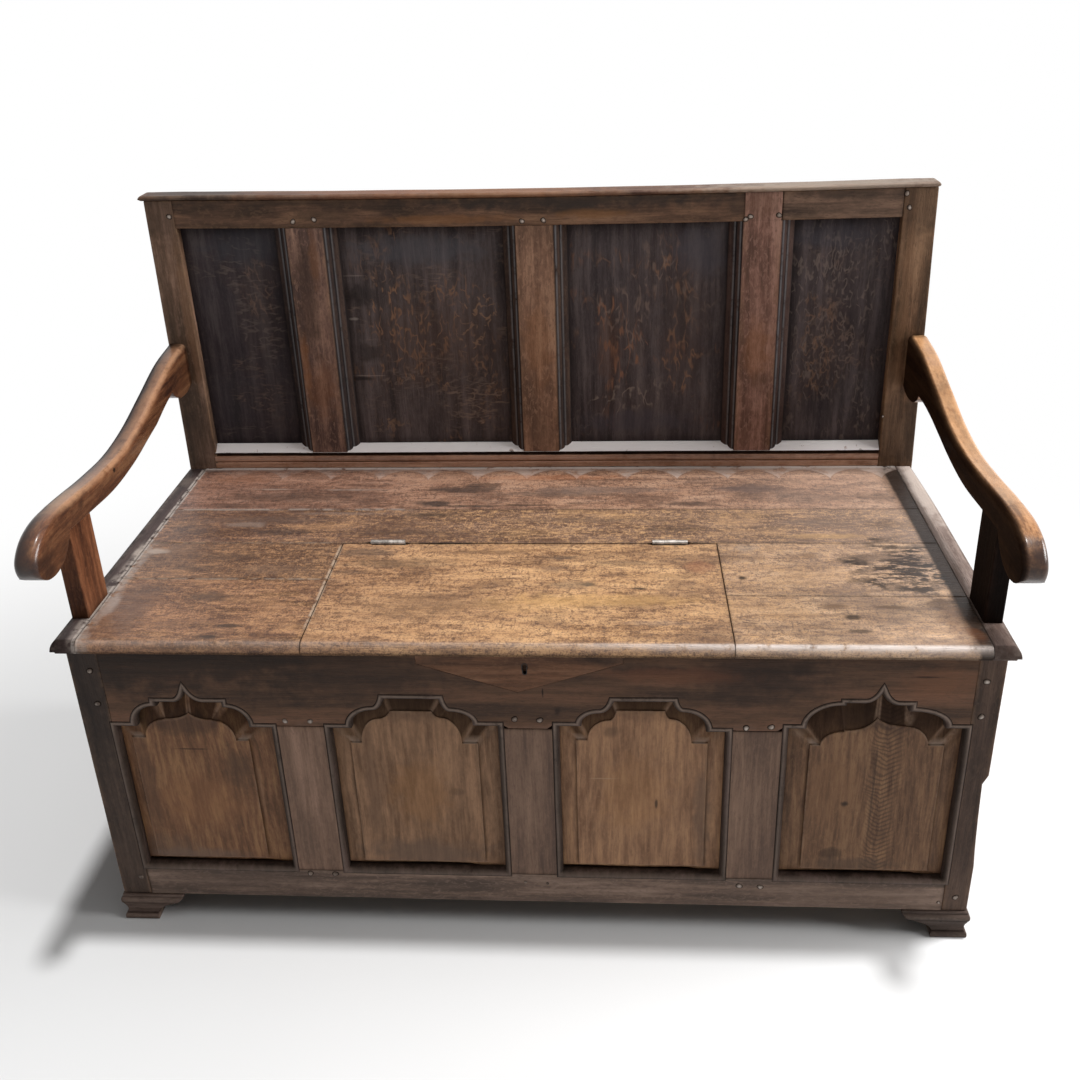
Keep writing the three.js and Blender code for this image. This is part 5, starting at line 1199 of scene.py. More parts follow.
def worn_seat(tree, place, colour, gold="cfa273", umber="5a4031"):
    """The broken surface of an old seat: a close net of light flecks and dark checks along the
    boards, scorched dark in streaks by the right arm, with painted shade making it darker and
    redder towards the left and paler and greyer towards the right, and a painted shadow of the
    right arm in a narrow dark band along the right strip."""
    long_marks = cloud(tree, moved(tree, "MULTIPLY", place, (0.32, 1.0, 1.0)), 170.0, 4.0, 0.74, 0.25)
    cross_marks = cloud(tree, moved(tree, "MULTIPLY", place, (1.0, 0.5, 1.0)), 190.0, 3.0, 0.7, 0.2)
    speckle = cloud(tree, place, 430.0, 2.0, 0.6)
    broad = cloud(tree, moved(tree, "MULTIPLY", place, (0.5, 1.0, 1.0)), 16.0, 3.0, 0.6)
    for marks, start, end, code, share in (
        (long_marks, 0.5, 0.62, gold, 0.7), (long_marks, 0.49, 0.38, umber, 0.7),
        (cross_marks, 0.47, 0.36, umber, 0.6), (cross_marks, 0.54, 0.66, gold, 0.5),
        (speckle, 0.48, 0.36, umber, 0.6), (speckle, 0.54, 0.66, gold, 0.5),
        (broad, 0.52, 0.36, umber, 0.5), (broad, 0.52, 0.66, gold, 0.3),
    ):
        colour = laid(tree, colour, code, eased(tree, marks, start, end), share)
    across, back = put(tree, "SeparateXYZ", place).outputs[:2]
    # Painted shade across the seat, as lit from the right: darker and redder towards the left, paler and
    # greyer towards the right.
    left = flipped(tree, eased(tree, across, -0.62, 0.2))
    colour = blended(tree, left, colour, (0.62, 0.56, 0.6, 1), "MULTIPLY")
    colour = laid(tree, colour, "b5a396", eased(tree, across, 0.1, 0.6), 0.3)
    burnt = called(tree, SOFT_SPOT, Position=place, Centre=in_place((515, 165, 500)),
                   Size=(0.095, 0.085, 0.03), Ragged=0.55, Grain=24.0)["Mask"]
    streaks = eased(tree, cloud(tree, moved(tree, "MULTIPLY", place, (0.3, 1.0, 1.0)), 100.0, 4.0, 0.75),
                    0.41, 0.52)
    colour = laid(tree, colour, "221c1b", burnt, streaks, 0.93)
    # Painted shadow of the right arm: a dark band along the inner side of the right strip.
    arm_shadow_band = scaled(tree, back, 0.015, across)
    return laid(tree, colour, "221712", eased(tree, arm_shadow_band, 0.55, 0.556), 0.93)


def dusted(tree, place, colour, along, level, width, code, strength, reach=(-9.0, 9.0)):
    """A thin dusty line: one coordinate close to a level, broken by noise, within a reach of the
    other."""
    parts = put(tree, "SeparateXYZ", place).outputs
    away = sum_up(tree, "ABSOLUTE", minus(tree, parts[along], level))
    near = flipped(tree, eased(tree, away, width * 0.3, width))
    broken = eased(tree, cloud(tree, place, 70.0, 3.0, 0.65), 0.36, 0.54)
    other = parts[1 - along]
    inside = times(tree, eased(tree, other, reach[0] - 0.02, reach[0] + 0.02),
                   flipped(tree, eased(tree, other, reach[1] - 0.02, reach[1] + 0.02)))
    share = times(tree, near, broken, times(tree, inside, strength))
    return laid(tree, colour, code, share)


REAR_JOINT, MIDDLE_JOINT, LEFT_JOINT = (back * MM + FRONT_PLANE for back in (333.2, 230, 130))
STRIP_INNER = 573.2
LID_LEFT, STRIP_LEFT = -281.4 * MM, -STRIP_INNER * MM


def dusty_joints(tree, place, colour):
    """Pale dust in the joints of the left half: beside the strip, between the rows, and down the
    lid's left edge."""
    swayed = worn_place(tree, place)
    colour = dusted(tree, place, colour, 0, STRIP_LEFT + 0.0012, 0.0042, "b9ada4", 0.85, (-0.3, 9.0))
    colour = dusted(tree, swayed, colour, 0, STRIP_LEFT + 0.006, 0.013, "a0948b", 0.5, (-0.3, 0.0))
    colour = dusted(tree, place, colour, 0, LID_LEFT, 0.0042, "bfa68f", 0.9, (-0.21, MIDDLE_JOINT - 0.01))
    colour = dusted(tree, place, colour, 1, REAR_JOINT, 0.0036, "b3a397", 0.75, (-0.6, -0.2))
    colour = dusted(tree, place, colour, 1, LEFT_JOINT, 0.0026, "b3a08e", 0.6, (-0.6, -0.28))
    return dusted(tree, place, colour, 1, MIDDLE_JOINT, 0.0026, "a99583", 0.55, (-0.6, -0.28))


def worn_place(tree, place):
    """The place, swayed by a slow noise, so that a line of dust isn't ruled."""
    sway = times(tree, minus(tree, cloud(tree, place, 14.0, 2.0), 0.5), 0.014)
    return moved(tree, "ADD", place, put(tree, "CombineXYZ", sway, 0.0, 0.0).outputs[0])


def dusty_seat(tree, place, colour):
    """A worn board with dust in its joints."""
    return dusty_joints(tree, place, worn_seat(tree, place, colour))


def scalloped_dust(tree, place, colour):
    """Dust left by the scalloped fringe of a squab: pale cusps between arcs 81 mm apart, under a
    pale strip along the back rail."""
    parts = put(tree, "SeparateXYZ", place).outputs
    phase = scaled(tree, parts[0], math.pi / 0.081, 0.95)
    wave = sum_up(tree, "ABSOLUTE", sum_up(tree, "SINE", phase))
    arc = scaled(tree, sum_up(tree, "POWER", wave, 0.6), 0.034, 0.2075)
    above = eased(tree, minus(tree, parts[1], arc), 0.0, 0.004)
    broken = eased(tree, cloud(tree, place, 40.0, 3.0, 0.7), 0.3, 0.55)
    share = times(tree, eased(tree, parts[0], -0.5, 0.1), 0.55)
    strength = times(tree, above, broken, plus(tree, share, 0.25))
    colour = laid(tree, colour, "ae9b90", strength)
    rim = sum_up(tree, "ABSOLUTE", minus(tree, parts[1], arc))
    rim = flipped(tree, eased(tree, rim, 0.0008, 0.0022))
    colour = laid(tree, colour, "50382b", rim, times(tree, share, 0.55))
    edge_dust = times(tree, eased(tree, parts[1], 0.246, 0.2525), eased(tree, broken, 0.1, 0.6))
    edge_dust = times(tree, edge_dust, eased(tree, parts[2], 0.497, 0.499))
    return laid(tree, colour, "cfc5be", edge_dust, 0.75)


def rear_figure(tree, place, colour):
    """The rear board's surface with its dust."""
    colour = worn_seat(tree, place, colour, "b58e72", "513a30")
    return scalloped_dust(tree, place, dusty_joints(tree, place, colour))


def on_seat(rows):
    """Stains and painted shadows on the seat: each row has a place across and back, a reach across
    and back, a colour and a strength."""
    return [((x, y, SEAT_TOP), (across, back, 20), code, strength)
            for x, y, across, back, code, strength in rows]


def seat_oak(name, tones, seed, spots, extra=dusty_seat, rubbed="a98568", rub=0.3):
    """Finish of one seat board. Its pale tint paints the highlight along the front moulding, where
    the board's trace says so.
    """
    return oak(name, "x", tones, seed, waver=0.02, pores=0.5, fibre=0.35, patches=0.55, mottle=0.0,
               spots=spots, extra=extra, rubbed=rubbed, rub=rub, grime_and_shade_tint="1b120d", grime_and_shade=0.8, dusty="eadcd4",
               rough=(0.34, 0.52), relief=0.6, shine=0.4, wax=0.05, bands=(11.0, 70.0, 70.0))


loops, rub, grime_and_shade = seat_board("seat_rear_board", False, 1, dish=0.4)
past_post = np.abs(loops[..., 0]) > post_inner - 0.3
loops[..., 1] = np.where(past_post, np.minimum(loops[..., 1], 479.7), loops[..., 1])
rear_spots = on_seat([
    (-120, 400, 70, 14, "2d221e", 0.75), (-95, 415, 40, 10, "33261f", 0.6),
    (-165, 353, 42, 12, "2a211f", 0.85), (-110, 344, 60, 5, "31251f", 0.75),
    (-20, 347, 55, 3.5, "3a2b22", 0.7), (40, 385, 130, 12, "57463d", 0.6),
    (100, 398, 160, 14, "6a5a52", 0.5), (60, 352, 24, 6, "3f2f26", 0.6),
    (230, 350, 60, 9, "453730", 0.65), (330, 400, 70, 16, "5a4d4a", 0.55),
    (-400, 375, 150, 22, "47352c", 0.55), (-300, 400, 60, 4, "a08d80", 0.45),
    (-430, 402, 40, 3, "a39082", 0.5), (-480, 345, 60, 10, "4a3830", 0.5),
    (20, 442, 150, 12, "a0623c", 0.35), (-500, 440, 60, 24, "84583f", 0.35),
    (420, 370, 90, 20, "63534b", 0.5), (520, 372, 40, 20, "4d403a", 0.5),
])
finish = seat_oak("seat_rear_oak", ("73523f", "a0775e", "bf987d"), 90, rear_spots, rear_figure)
fitted("seat_rear_board", loops, "oak_seat", finish, rub, grime_and_shade)

loops, rub, grime_and_shade = seat_board("seat_middle_board", False, 2, dish=0.6)
loops[..., 1] = np.where(by_hinge(loops), np.maximum(loops[..., 1], 235.0), loops[..., 1])
middle_spots = on_seat([
    (-410, 300, 130, 14, "57443b", 0.6), (-385, 262, 60, 12, "3d2f2a", 0.65),
    (-440, 285, 40, 10, "8d7b70", 0.45), (-520, 270, 40, 24, "4c3a32", 0.5),
    (-300, 320, 80, 6, "7d6b60", 0.4), (-165, 316, 50, 10, "33261f", 0.6),
    (80, 300, 150, 9, "7c634f", 0.45), (200, 270, 60, 8, "4d3b31", 0.6),
    (410, 290, 70, 12, "6f5f56", 0.5), (520, 285, 44, 16, "4c3e37", 0.4),
    (420, 250, 70, 10, "c19a6c", 0.4), (-200, 262, 110, 8, "4b382d", 0.5),
    # The two spots on this line paint the shadow in the gap behind the lid.
    (-130, 230, 70, 2.6, "100b08", 0.9), (236, 230, 24, 3, "100b08", 0.9),
    # This spot paints the right arm's shadow beside the right strip.
    (565, 280, 14, 60, "33251e", 0.55),
])
finish = seat_oak("seat_middle_oak", ("523c30", "765a4a", "937560"), 91, middle_spots)
fitted("seat_middle_board", loops, "oak_seat", finish, rub, grime_and_shade)

for node, seed, tones, spots in (
    ("seat_left_rear_board", 92, ("553c2e", "7a5d46", "9a7a5c"), [
        (-520, 200, 50, 40, "5a4336", 0.55), (-440, 190, 60, 14, "4e3a2e", 0.5),
        (-360, 155, 70, 16, "674f40", 0.4), (-548, 205, 18, 10, "a99a8e", 0.6),
        (-480, 158, 40, 10, "44332a", 0.5)]),
    ("seat_right_rear_board", 93, ("85664d", "b18e71", "cfab8a"), [
        (480, 190, 60, 12, "4d3f38", 0.5), (385, 195, 14, 8, "7d624d", 0.6),
        (300, 215, 24, 12, "9a8a7c", 0.4), (289, 136, 8, 6, "1c1410", 0.9),
        # This spot paints the right arm's shadow beside the right strip.
        (566, 170, 13, 80, "33251e", 0.6)]),
):
    loops, rub, grime_and_shade = seat_board(node, False, seed)
    fitted(node, loops, "oak_seat", seat_oak(f"{node}_oak", tones, seed, on_seat(spots)), rub, grime_and_shade)

for node, seed, tones, spots in (
    ("seat_left_front_board", 94, ("684a32", "966f52", "c4976f"), [
        (-540, 40, 46, 80, "5f4639", 0.6), (-430, 85, 40, 16, "443229", 0.7),
        (-382, 16, 20, 6, "30231c", 0.8), (-405, -8, 16, 6, "2a1e18", 0.9),
        (-470, 20, 60, 14, "6d4f3c", 0.4), (-520, 100, 40, 20, "523d32", 0.5),
        (-560, 60, 12, 34, "9c8c82", 0.6)]),
    ("seat_right_front_board", 95, ("906d50", "c09a78", "e3bb94"), [
        (415, 42, 14, 8, "35281f", 0.85), (420, 12, 18, 5, "3a2c22", 0.7),
        (470, 66, 24, 5, "5a4434", 0.6), (395, 68, 24, 8, "5f4838", 0.6),
        (545, 40, 26, 60, "6b4d3b", 0.55), (535, 75, 30, 14, "4a372d", 0.5),
        # The second spot on this line paints the right arm's shadow beside the right strip.
        (560, 5, 14, 20, "7d4f34", 0.5), (567, 90, 10, 60, "3d2c23", 0.6)]),
):
    loops, rub, grime_and_shade = seat_board(node, True, seed)
    fitted(node, loops, "oak_seat", seat_oak(f"{node}_oak", tones, seed, on_seat(spots)), rub, grime_and_shade,
           dust=nose_highlight(loops))

loops, rub, grime_and_shade = seat_board("lid", True, 96, dish=1.0)
loops[..., 1] = np.where(by_hinge(loops), np.minimum(loops[..., 1], 224.5), loops[..., 1])
lid_spots = on_seat([
    (-240, 205, 50, 16, "55443a", 0.65), (-190, 175, 90, 16, "6b543f", 0.5),
    (-250, 150, 40, 8, "4c3a30", 0.55), (-60, 205, 80, 8, "5f4634", 0.5), (40, 190, 30, 7, "4f4038", 0.6),
    (30, 160, 24, 10, "6d5646", 0.5), (80, 120, 16, 6, "352a22", 0.75), (60, 118, 40, 14, "7d6a55", 0.4),
    (150, 110, 12, 4, "2e241d", 0.85), (130, 175, 60, 9, "63503f", 0.5),
    (200, 140, 40, 10, "7a5f44", 0.4), (232, 165, 24, 20, "9a6448", 0.4),
    (100, 80, 150, 20, "d3a566", 0.35), (0, 70, 90, 26, "c89c68", 0.3), (170, 28, 50, 8, "8a7566", 0.4),
    (245, 214, 14, 8, "5d4a3d", 0.5), (-150, 60, 120, 40, "a5815f", 0.3),
    # This spot paints the shadow in the gap behind the lid.
    (-130, 228, 66, 2, "100b08", 0.8),
])
finish = seat_oak("lid_oak", ("8a6547", "bb9069", "deb182"), 96, lid_spots)
fitted("lid", loops, "oak_seat", finish, rub, grime_and_shade, dust=nose_highlight(loops), body="lid")


# ---- Edge strips of the seat --------------------------------------------------------------------
# A narrow strip along each end of the seat is moulded like the front and mitred to it. They are
# greyer than the boards; the left one has dust along its joint, and the right one is worn thin at
# the back.

def strip_loops(sign):
    """Loops of an edge strip from front to back: the moulded section is carried along, and at the
    front no point may stand above the height of the front moulding there."""
    edge = nose()
    inner_x = [594, 590, 583, 577, 575, 573.6, STRIP_INNER, STRIP_INNER, STRIP_INNER, 574, 590]
    inner_z = [20, 20, 20, 20, 20, 19.9, 19.4, 10, 0.6, 0, 0]
    section_x = np.concatenate([SEAT_HALF - edge[:, 0], inner_x])
    section_z = np.concatenate([edge[:, 1], inner_z]) + SEAT_UNDER
    front = nose(10)[5:]
    stations = np.concatenate([SEAT_FRONT + front[:, 0] + 0.02, np.linspace(-11, 478.8, 60), [479.4, 479.7]])
    ceiling = np.concatenate([SEAT_UNDER + front[:, 1], np.full(60, SEAT_TOP),
                              [SEAT_TOP - 0.2, SEAT_TOP - 0.8]])
    floor = np.where(stations < SEAT_FRONT + 4.0, SEAT_UNDER + 5.0, SEAT_UNDER)
    loops = np.empty((len(stations), len(section_x), 3))
    loops[..., 0] = sign * section_x
    loops[..., 1] = stations[:, None]
    loops[..., 2] = np.clip(section_z[None, :], floor[:, None], ceiling[:, None])
    top = loops[..., 2] > SEAT_TOP - 0.5
    loops[..., 2] += np.where(top, 0.3 * wander(loops, 40, 140, 300) - 0.4, 0.0)
    if sign > 0:
        worn = 5.0 * rising(stations, 330, 480) ** 1.5
        outer = rising(section_x, 590, 606)
        loops[..., 0] -= worn[:, None] * outer
    rub = bell(np.abs(loops[..., 0]), 600, 5) * (loops[..., 2] > SEAT_UNDER + 9)
    grime_and_shade = np.where(top, 0.8 * np.exp(-(np.abs(loops[..., 0]) - STRIP_INNER) / 1.3), 0.5)
    return loops, rub, grime_and_shade


def left_dust(tree, place, colour):
    """Pale dust along the left strip's joint, and traces of the boards' joints across it."""
    colour = dusted(tree, place, colour, 0, STRIP_LEFT - 0.0012, 0.0042, "b9ada4", 0.9, (-0.3, 9.0))
    colour = dusted(tree, worn_place(tree, place), colour, 0, STRIP_LEFT - 0.004, 0.012, "9c9087", 0.5,
                    (-0.3, 0.0))
    return dusted(tree, place, colour, 1, REAR_JOINT, 0.0018, "9d8f85", 0.4)


strip_spots = {
    "left": on_seat([(-578, 205, 8, 24, "b3a69b", 0.6), (-580, 60, 10, 30, "a39689", 0.6),
                     (-590, 430, 16, 24, "75665d", 0.4)]),
    # On the right strip, the dark front and the dark line along the inner edge are painted shadow of the
    # right arm.
    "right": on_seat([(592, 400, 22, 150, "c0b2a8", 0.75), (592, 0, 22, 70, "4a3932", 0.7),
                      (577, 200, 5, 260, "4a3a33", 0.5)]),
}
for side, sign, seed in (("left", -1, 97), ("right", 1, 98)):
    loops, rub, grime_and_shade = strip_loops(sign)
    node = f"seat_{side}_edge_strip"
    tones = ("2c2322", "3d312f", "50423f") if side == "left" else ("66564f", "83726a", "a19189")
    finish = oak(f"{side}_strip_oak", "y", tones, seed, spots=strip_spots[side], rubbed="a8978c", rub=0.5,
                 rough=(0.42, 0.62), relief=0.45, extra=left_dust if side == "left" else None)
    fitted(node, loops, "oak_seat", finish, rub, grime_and_shade)


# ---- Hinges and lock ----------------------------------------------------------------------------
# Two small wrought butt hinges are let into the back of the lid, and a boxed lock is screwed behind
# the top rail. Its bolt slides into the eye of a staple under the lid.

BRIGHT_IRON = iron("worn_hinge_iron", ("6a645f", "989089", "bdb5ae"), 0.5)
shown_in(BRIGHT_IRON, "left_hinge_seat_leaf", "right_hinge_seat_leaf", "left_hinge_lid_leaf",
         "right_hinge_lid_leaf")
shown_in(IRON, "lock_case", "lock_bolt", "lid_staple")


# ---- Frame of the back --------------------------------------------------------------------------
# The back is framed between the posts: a sill with a broad chamfer, three muntins moulded along
# their edges, and a top rail in two lengths with the right-hand muntin running up between them. The
# sill's chamfer carries a painted highlight where it faces the light, over a painted shadow line.

SILL_FACE_TOP = 529.0
CHAMFER_RISE = 11.0
CHAMFER_DEPTH = 12.0
RAIL_LOW = 911.0
POST_TOP = 955.0
BACK_DEEP = 28.0
MUNTINS = [-356.0, -2.0, 341.0]
MUNTIN_HALF = 27.5
MOULD_WIDTH = 22.0


def settled(points):
    """The top of the back has sunk a little in the middle: a point moves down by up to five
    millimetres at the top, as a parabola across and in proportion to its height up the back. It
    leans with the posts."""
    moved_points = racked(points)
    rise = np.clip((points[..., 2] - 560) / (POST_TOP - 560), 0, 1)
    moved_points[..., 2] -= 5.0 * rise * np.clip(1 - (points[..., 0] / 545) ** 2, 0, 1)
    return moved_points


def run_section(section, places):
    """A closed section of depth and height carried straight across the settle."""
    loops = np.empty((len(places), len(section), 3))
    loops[..., 0] = np.asarray(places)[:, None]
    loops[..., 1:] = section
    return loops


chamfer = np.linspace(0, 1, 5)[1:-1]
sill_profile = np.array([
    (0.4, 500.3), (0.0, 500.9), (0.0, 504.0), (0.0, 509.4), (0.5, 510.0), (1.4, 510.6), (1.4, 511.8),
    (0.5, 512.4), (0.0, 513.2), (-0.2, 517.0), (0.0, 521.4), (0.8, 522.2), (2.8, 522.8), (3.0, 524.6),
    (0.9, 525.2), (0.0, 526.0), (0.0, 528.2), (0.5, 529.0),
    *[(CHAMFER_DEPTH * s, SILL_FACE_TOP + CHAMFER_RISE * s) for s in chamfer],
    (12.0, 540.0), (BACK_DEEP, 540.0), (BACK_DEEP, 500.3),
])
section = sill_profile + [BACK_PLANE, 0]
places = np.linspace(-post_inner - 9.0, post_inner - 0.3, 70)
loops = run_section(section, places)
grime_and_shade_line = np.zeros(len(section))
# Painted shadow darkens the groove and face just under the chamfer.
grime_and_shade_line[[12, 13, 14, 15, 16]] = 1.0
grime_and_shade_line[[0, 5, 6, 11]] = 0.6
grime_and_shade = np.tile(grime_and_shade_line, (len(places), 1))
rub_line = np.zeros(len(section))
rub_line[[1, 2, 3, 8, 9, 10]] = 0.8
rub = np.tile(rub_line, (len(places), 1))
# The pale tint paints the chamfer's highlight, and the one spot the shadow line under it.
sill_finish = oak("back_sill_oak", "x", ("735240", "9d7259", "ba8f76"), 110, rubbed="b8937c", rub=0.6,
                  dusty="ebe5e3", spots=[((0, 480, 526), (900, 60, 4.5), "2a1f1a", 0.9)], rough=(0.35, 0.5),
                  wax=0.2)
# Painted highlight on the chamfer, and a faint one on the face below.
dust_line = np.zeros(len(section))
dust_line[17:22] = 2.5
dust_line[9] = 0.12
fitted("back_bottom_rail", hand_worked(loops), "oak_back", sill_finish, rub, grime_and_shade,
       dust=np.tile(dust_line, (len(places), 1)), crease=30)

MOULD = np.array([
    (0, 0), (0.08, 0.0), (0.12, 0.16), (0.2, 0.18), (0.3, 0.22), (0.4, 0.32), (0.48, 0.46), (0.5, 0.6),
    (0.56, 0.6), (0.68, 0.63), (0.76, 0.68), (0.84, 0.78), (0.92, 0.86), (1.0, 1.0),
])


def muntin_loops(middle):
    """Loops of a back muntin from the sill up: the face and its stepped edge mouldings, each point
    stopped on the sill's chamfer at its own depth, which mitres them."""
    edge = np.column_stack([MUNTIN_HALF + MOULD[:, 0] * MOULD_WIDTH, MOULD[:, 1] * CHAMFER_DEPTH])
    back = np.array([(MUNTIN_HALF + MOULD_WIDTH, 14.0), (MUNTIN_HALF + MOULD_WIDTH, BACK_DEEP)])
    half = np.concatenate([edge, back])
    face = np.linspace(-MUNTIN_HALF, MUNTIN_HALF, 7)[1:-1]
    section = np.concatenate([
        (half * [-1, 1])[::-1], np.column_stack([face, np.zeros(5)]), half])
    heights = np.concatenate([[0.0], np.linspace(540.5, RAIL_LOW - 0.3, 30)])
    foot = SILL_FACE_TOP + np.clip(section[:, 1], 0, CHAMFER_DEPTH) * CHAMFER_RISE / CHAMFER_DEPTH + 0.2
    loops = np.empty((len(heights), len(section), 3))
    loops[..., 0] = middle + section[:, 0]
    loops[..., 1] = BACK_PLANE + section[:, 1]
    loops[..., 2] = heights[:, None]
    loops[0, :, 2] = foot
    beyond = np.abs(section[:, 0]) - MUNTIN_HALF
    moulded = np.where(beyond > 0.1, 1.0, 0.0)
    share = np.clip(beyond / MOULD_WIDTH, 0, 1)
    # The moulded edges are darkened as painted shade, most in their grooves, and pale lines on their ridges
    # are painted highlights.
    deep = (np.abs(share - 0.12) < 0.03) | (np.abs(share - 0.49) < 0.03) | (share > 0.93)
    grime_and_shade = np.where(deep & (moulded > 0), 1.0, moulded * 0.85) * np.where(section[:, 1] > 20, 0.15, 1.0)
    grime_and_shade = np.tile(grime_and_shade, (len(heights), 1))
    ridge = (np.abs(share - 0.2) < 0.03) | (np.abs(share - 0.58) < 0.05)
    dust = np.tile(np.where(ridge & (moulded > 0), 0.6, 0.0), (len(heights), 1))
    rub = np.tile(np.where(np.abs(beyond) < 2.2, 0.8, 0.0), (len(heights), 1))
    return loops, rub, grime_and_shade, dust


muntin_looks = [
    ("back_left_muntin", ("4e3c37", "765b50", "9c7b69"), [
        (-362, 800, 20, 130, "382820", 0.6), (-345, 860, 9, 60, "7d563c", 0.5),
        (-378, 690, 10, 60, "8d5c38", 0.5), (-356, 640, 30, 60, "7a5035", 0.45)]),
    ("back_middle_muntin", ("61493c", "876653", "a8846c"), [
        (-2, 720, 26, 90, "8a5e3c", 0.35), (-2, 900, 30, 30, "5c4638", 0.4),
        (-2, 560, 30, 40, "5f4a3d", 0.4)]),
    ("back_right_muntin", ("5c4238", "825f52", "a17c6d"), [
        (341, 700, 26, 60, "875a38", 0.4), (345, 650, 20, 20, "4f3828", 0.5),
        (341, 930, 30, 30, "5f4433", 0.4)]),
]
for (node, tones, spots), middle, seed in zip(muntin_looks, MUNTINS, (111, 112, 113)):
    loops, rub, grime_and_shade, dust = muntin_loops(middle)
    shells, rubs, grime_and_shade_sets, dusts = [loops], [rub], [grime_and_shade], [dust]
    if node == "back_right_muntin":
        head_low = (middle - MUNTIN_HALF, BACK_PLANE, RAIL_LOW - 2)
        head_high = (middle + MUNTIN_HALF, BACK_PLANE + BACK_DEEP, POST_TOP - 0.3)
        head, head_rub, head_grime = squared(head_low, head_high, "z", 0.8)
        shells.append(head)
        rubs.append(head_rub)
        grime_and_shade_sets.append(head_grime * 0.4)
        dusts.append(head_grime * 0)
    # The grey tints paint the shade and the highlights of the mouldings.
    finish = oak(f"{node}_oak", "z", tones, seed, spots=on_back(spots), rubbed="8b6b50", rub=0.4,
                 grime_and_shade_tint="212123", grime_and_shade=0.95, dusty="838386", waver=0.02, patches=0.6, mottle=0.5)
    skinned(node, [settled(hand_worked(shell)) for shell in shells], "base", finish, [node],
            {"rub": rubs, "grime_and_shade": grime_and_shade_sets, "dust": dusts}, crease=30)

for node, x0, x1, seed, tones in (
    ("back_top_rail_long", -post_inner - 12.0, MUNTINS[2] - MUNTIN_HALF - 0.3, 115,
     ("403127", "5e4638", "82634d")),
    ("back_top_rail_short", MUNTINS[2] + MUNTIN_HALF + 0.3, post_inner - 0.3, 116,
     ("41332b", "614d40", "826756")),
):
    low, high = (x0, BACK_PLANE, RAIL_LOW), (x1, BACK_PLANE + BACK_DEEP, POST_TOP - 0.3)
    loops, rub, grime_and_shade = squared(low, high, "x", 1.3)
    spots = on_back([
        # The first three rows, along the top, paint the cap's shadow on the rails.
        (-300, 952, 400, 16, "2f2620", 0.55), (60, 948, 300, 24, "2a2725", 0.8),
        (460, 950, 110, 18, "332a25", 0.65), (-140, 918, 120, 9, "8a5f3c", 0.45),
        (90, 922, 60, 9, "8a6039", 0.4), (-330, 928, 60, 12, "2f251f", 0.5),
        (-220, 935, 30, 14, "2c241f", 0.5), (300, 935, 20, 20, "2c2521", 0.5),
    ])
    finish = oak(f"{node}_oak", "x", tones, seed, spots=spots, rubbed="8d6c50", rub=0.5, waver=0.03,
                 patches=0.6)
    fitted(node, settled(loops), "oak_back", finish, rub, grime_and_shade)


# ---- Panels of the back -------------------------------------------------------------------------
# Four flat panels of quarter-sawn oak are almost black with age. The rays of the wood show as
# short ginger flecks, in drifts across the two wide panels and in waves down the right-hand one.

def ray_flecks_group():
    """Ray flecks: thin crests of a stretched and twisted noise, broken into short lengths by a
    second noise, and let through only in drifts."""
    tree, given, result = new_group(
        "Ray flecks",
        [("Position", "Vector", (0, 0, 0)), ("Shift", "Float", 0.0), ("Stretch", "Vector", (1, 1, 0.3)),
         ("Cover", "Float", 0.5), ("Centre", "Vector", (0, 0, 0)), ("Size", "Vector", (1, 1, 1))],
        [("Flecks", "Float"), ("Sheen", "Float")],
    )
    offset = put(tree, "CombineXYZ", given["Shift"], 0.0, given["Shift"]).outputs[0]
    place = moved(tree, "ADD", given["Position"], offset)
    stretched = moved(tree, "MULTIPLY", place, given["Stretch"])
    ridge = sum_up(tree, "ABSOLUTE", minus(tree, cloud(tree, stretched, 150.0, 1.5, 0.45, 0.35), 0.5))
    thin = flipped(tree, eased(tree, ridge, 0.008, 0.065))
    short = eased(tree, cloud(tree, moved(tree, "ADD", stretched, (5.0, 3.0, 1.0)), 190.0, 1.0), 0.4, 0.56)
    drift = cloud(tree, place, 11.0, 3.0, 0.6)
    reach = called(tree, SOFT_SPOT, Position=given["Position"], Centre=given["Centre"], Size=given["Size"],
                   Ragged=0.5, Grain=12.0)["Mask"]
    cover = scaled(tree, reach, 0.3, minus(tree, given["Cover"], 0.5))
    gate = eased(tree, plus(tree, drift, cover), 0.42, 0.66)
    tree.links.new(times(tree, thin, short, gate), result["Flecks"])
    tree.links.new(gate, result["Sheen"])
    return tree


RAY_FLECKS = ray_flecks_group()
PANEL_FACE = 494.0
PANEL_STAIN_DEPTH = 30


def rays(*drifts):
    """Ray flecks of one panel, as an addition to its colour: each drift has its shift, stretch,
    cover, colour, strength, its place across and up, and its reach across and up."""
    def add(tree, place, colour):
        for shift, stretch, cover, code, strength, x, z, across, up in drifts:
            flecks = called(tree, RAY_FLECKS, Position=place, Shift=shift, Stretch=stretch, Cover=cover,
                            Centre=in_place((x, PANEL_FACE, z)),
                            Size=[length * MM for length in (across, PANEL_STAIN_DEPTH, up)])
            colour = laid(tree, colour, "46352e", flecks["Sheen"], 0.14)
            colour = laid(tree, colour, code, flecks["Flecks"], strength)
        return colour
    return add
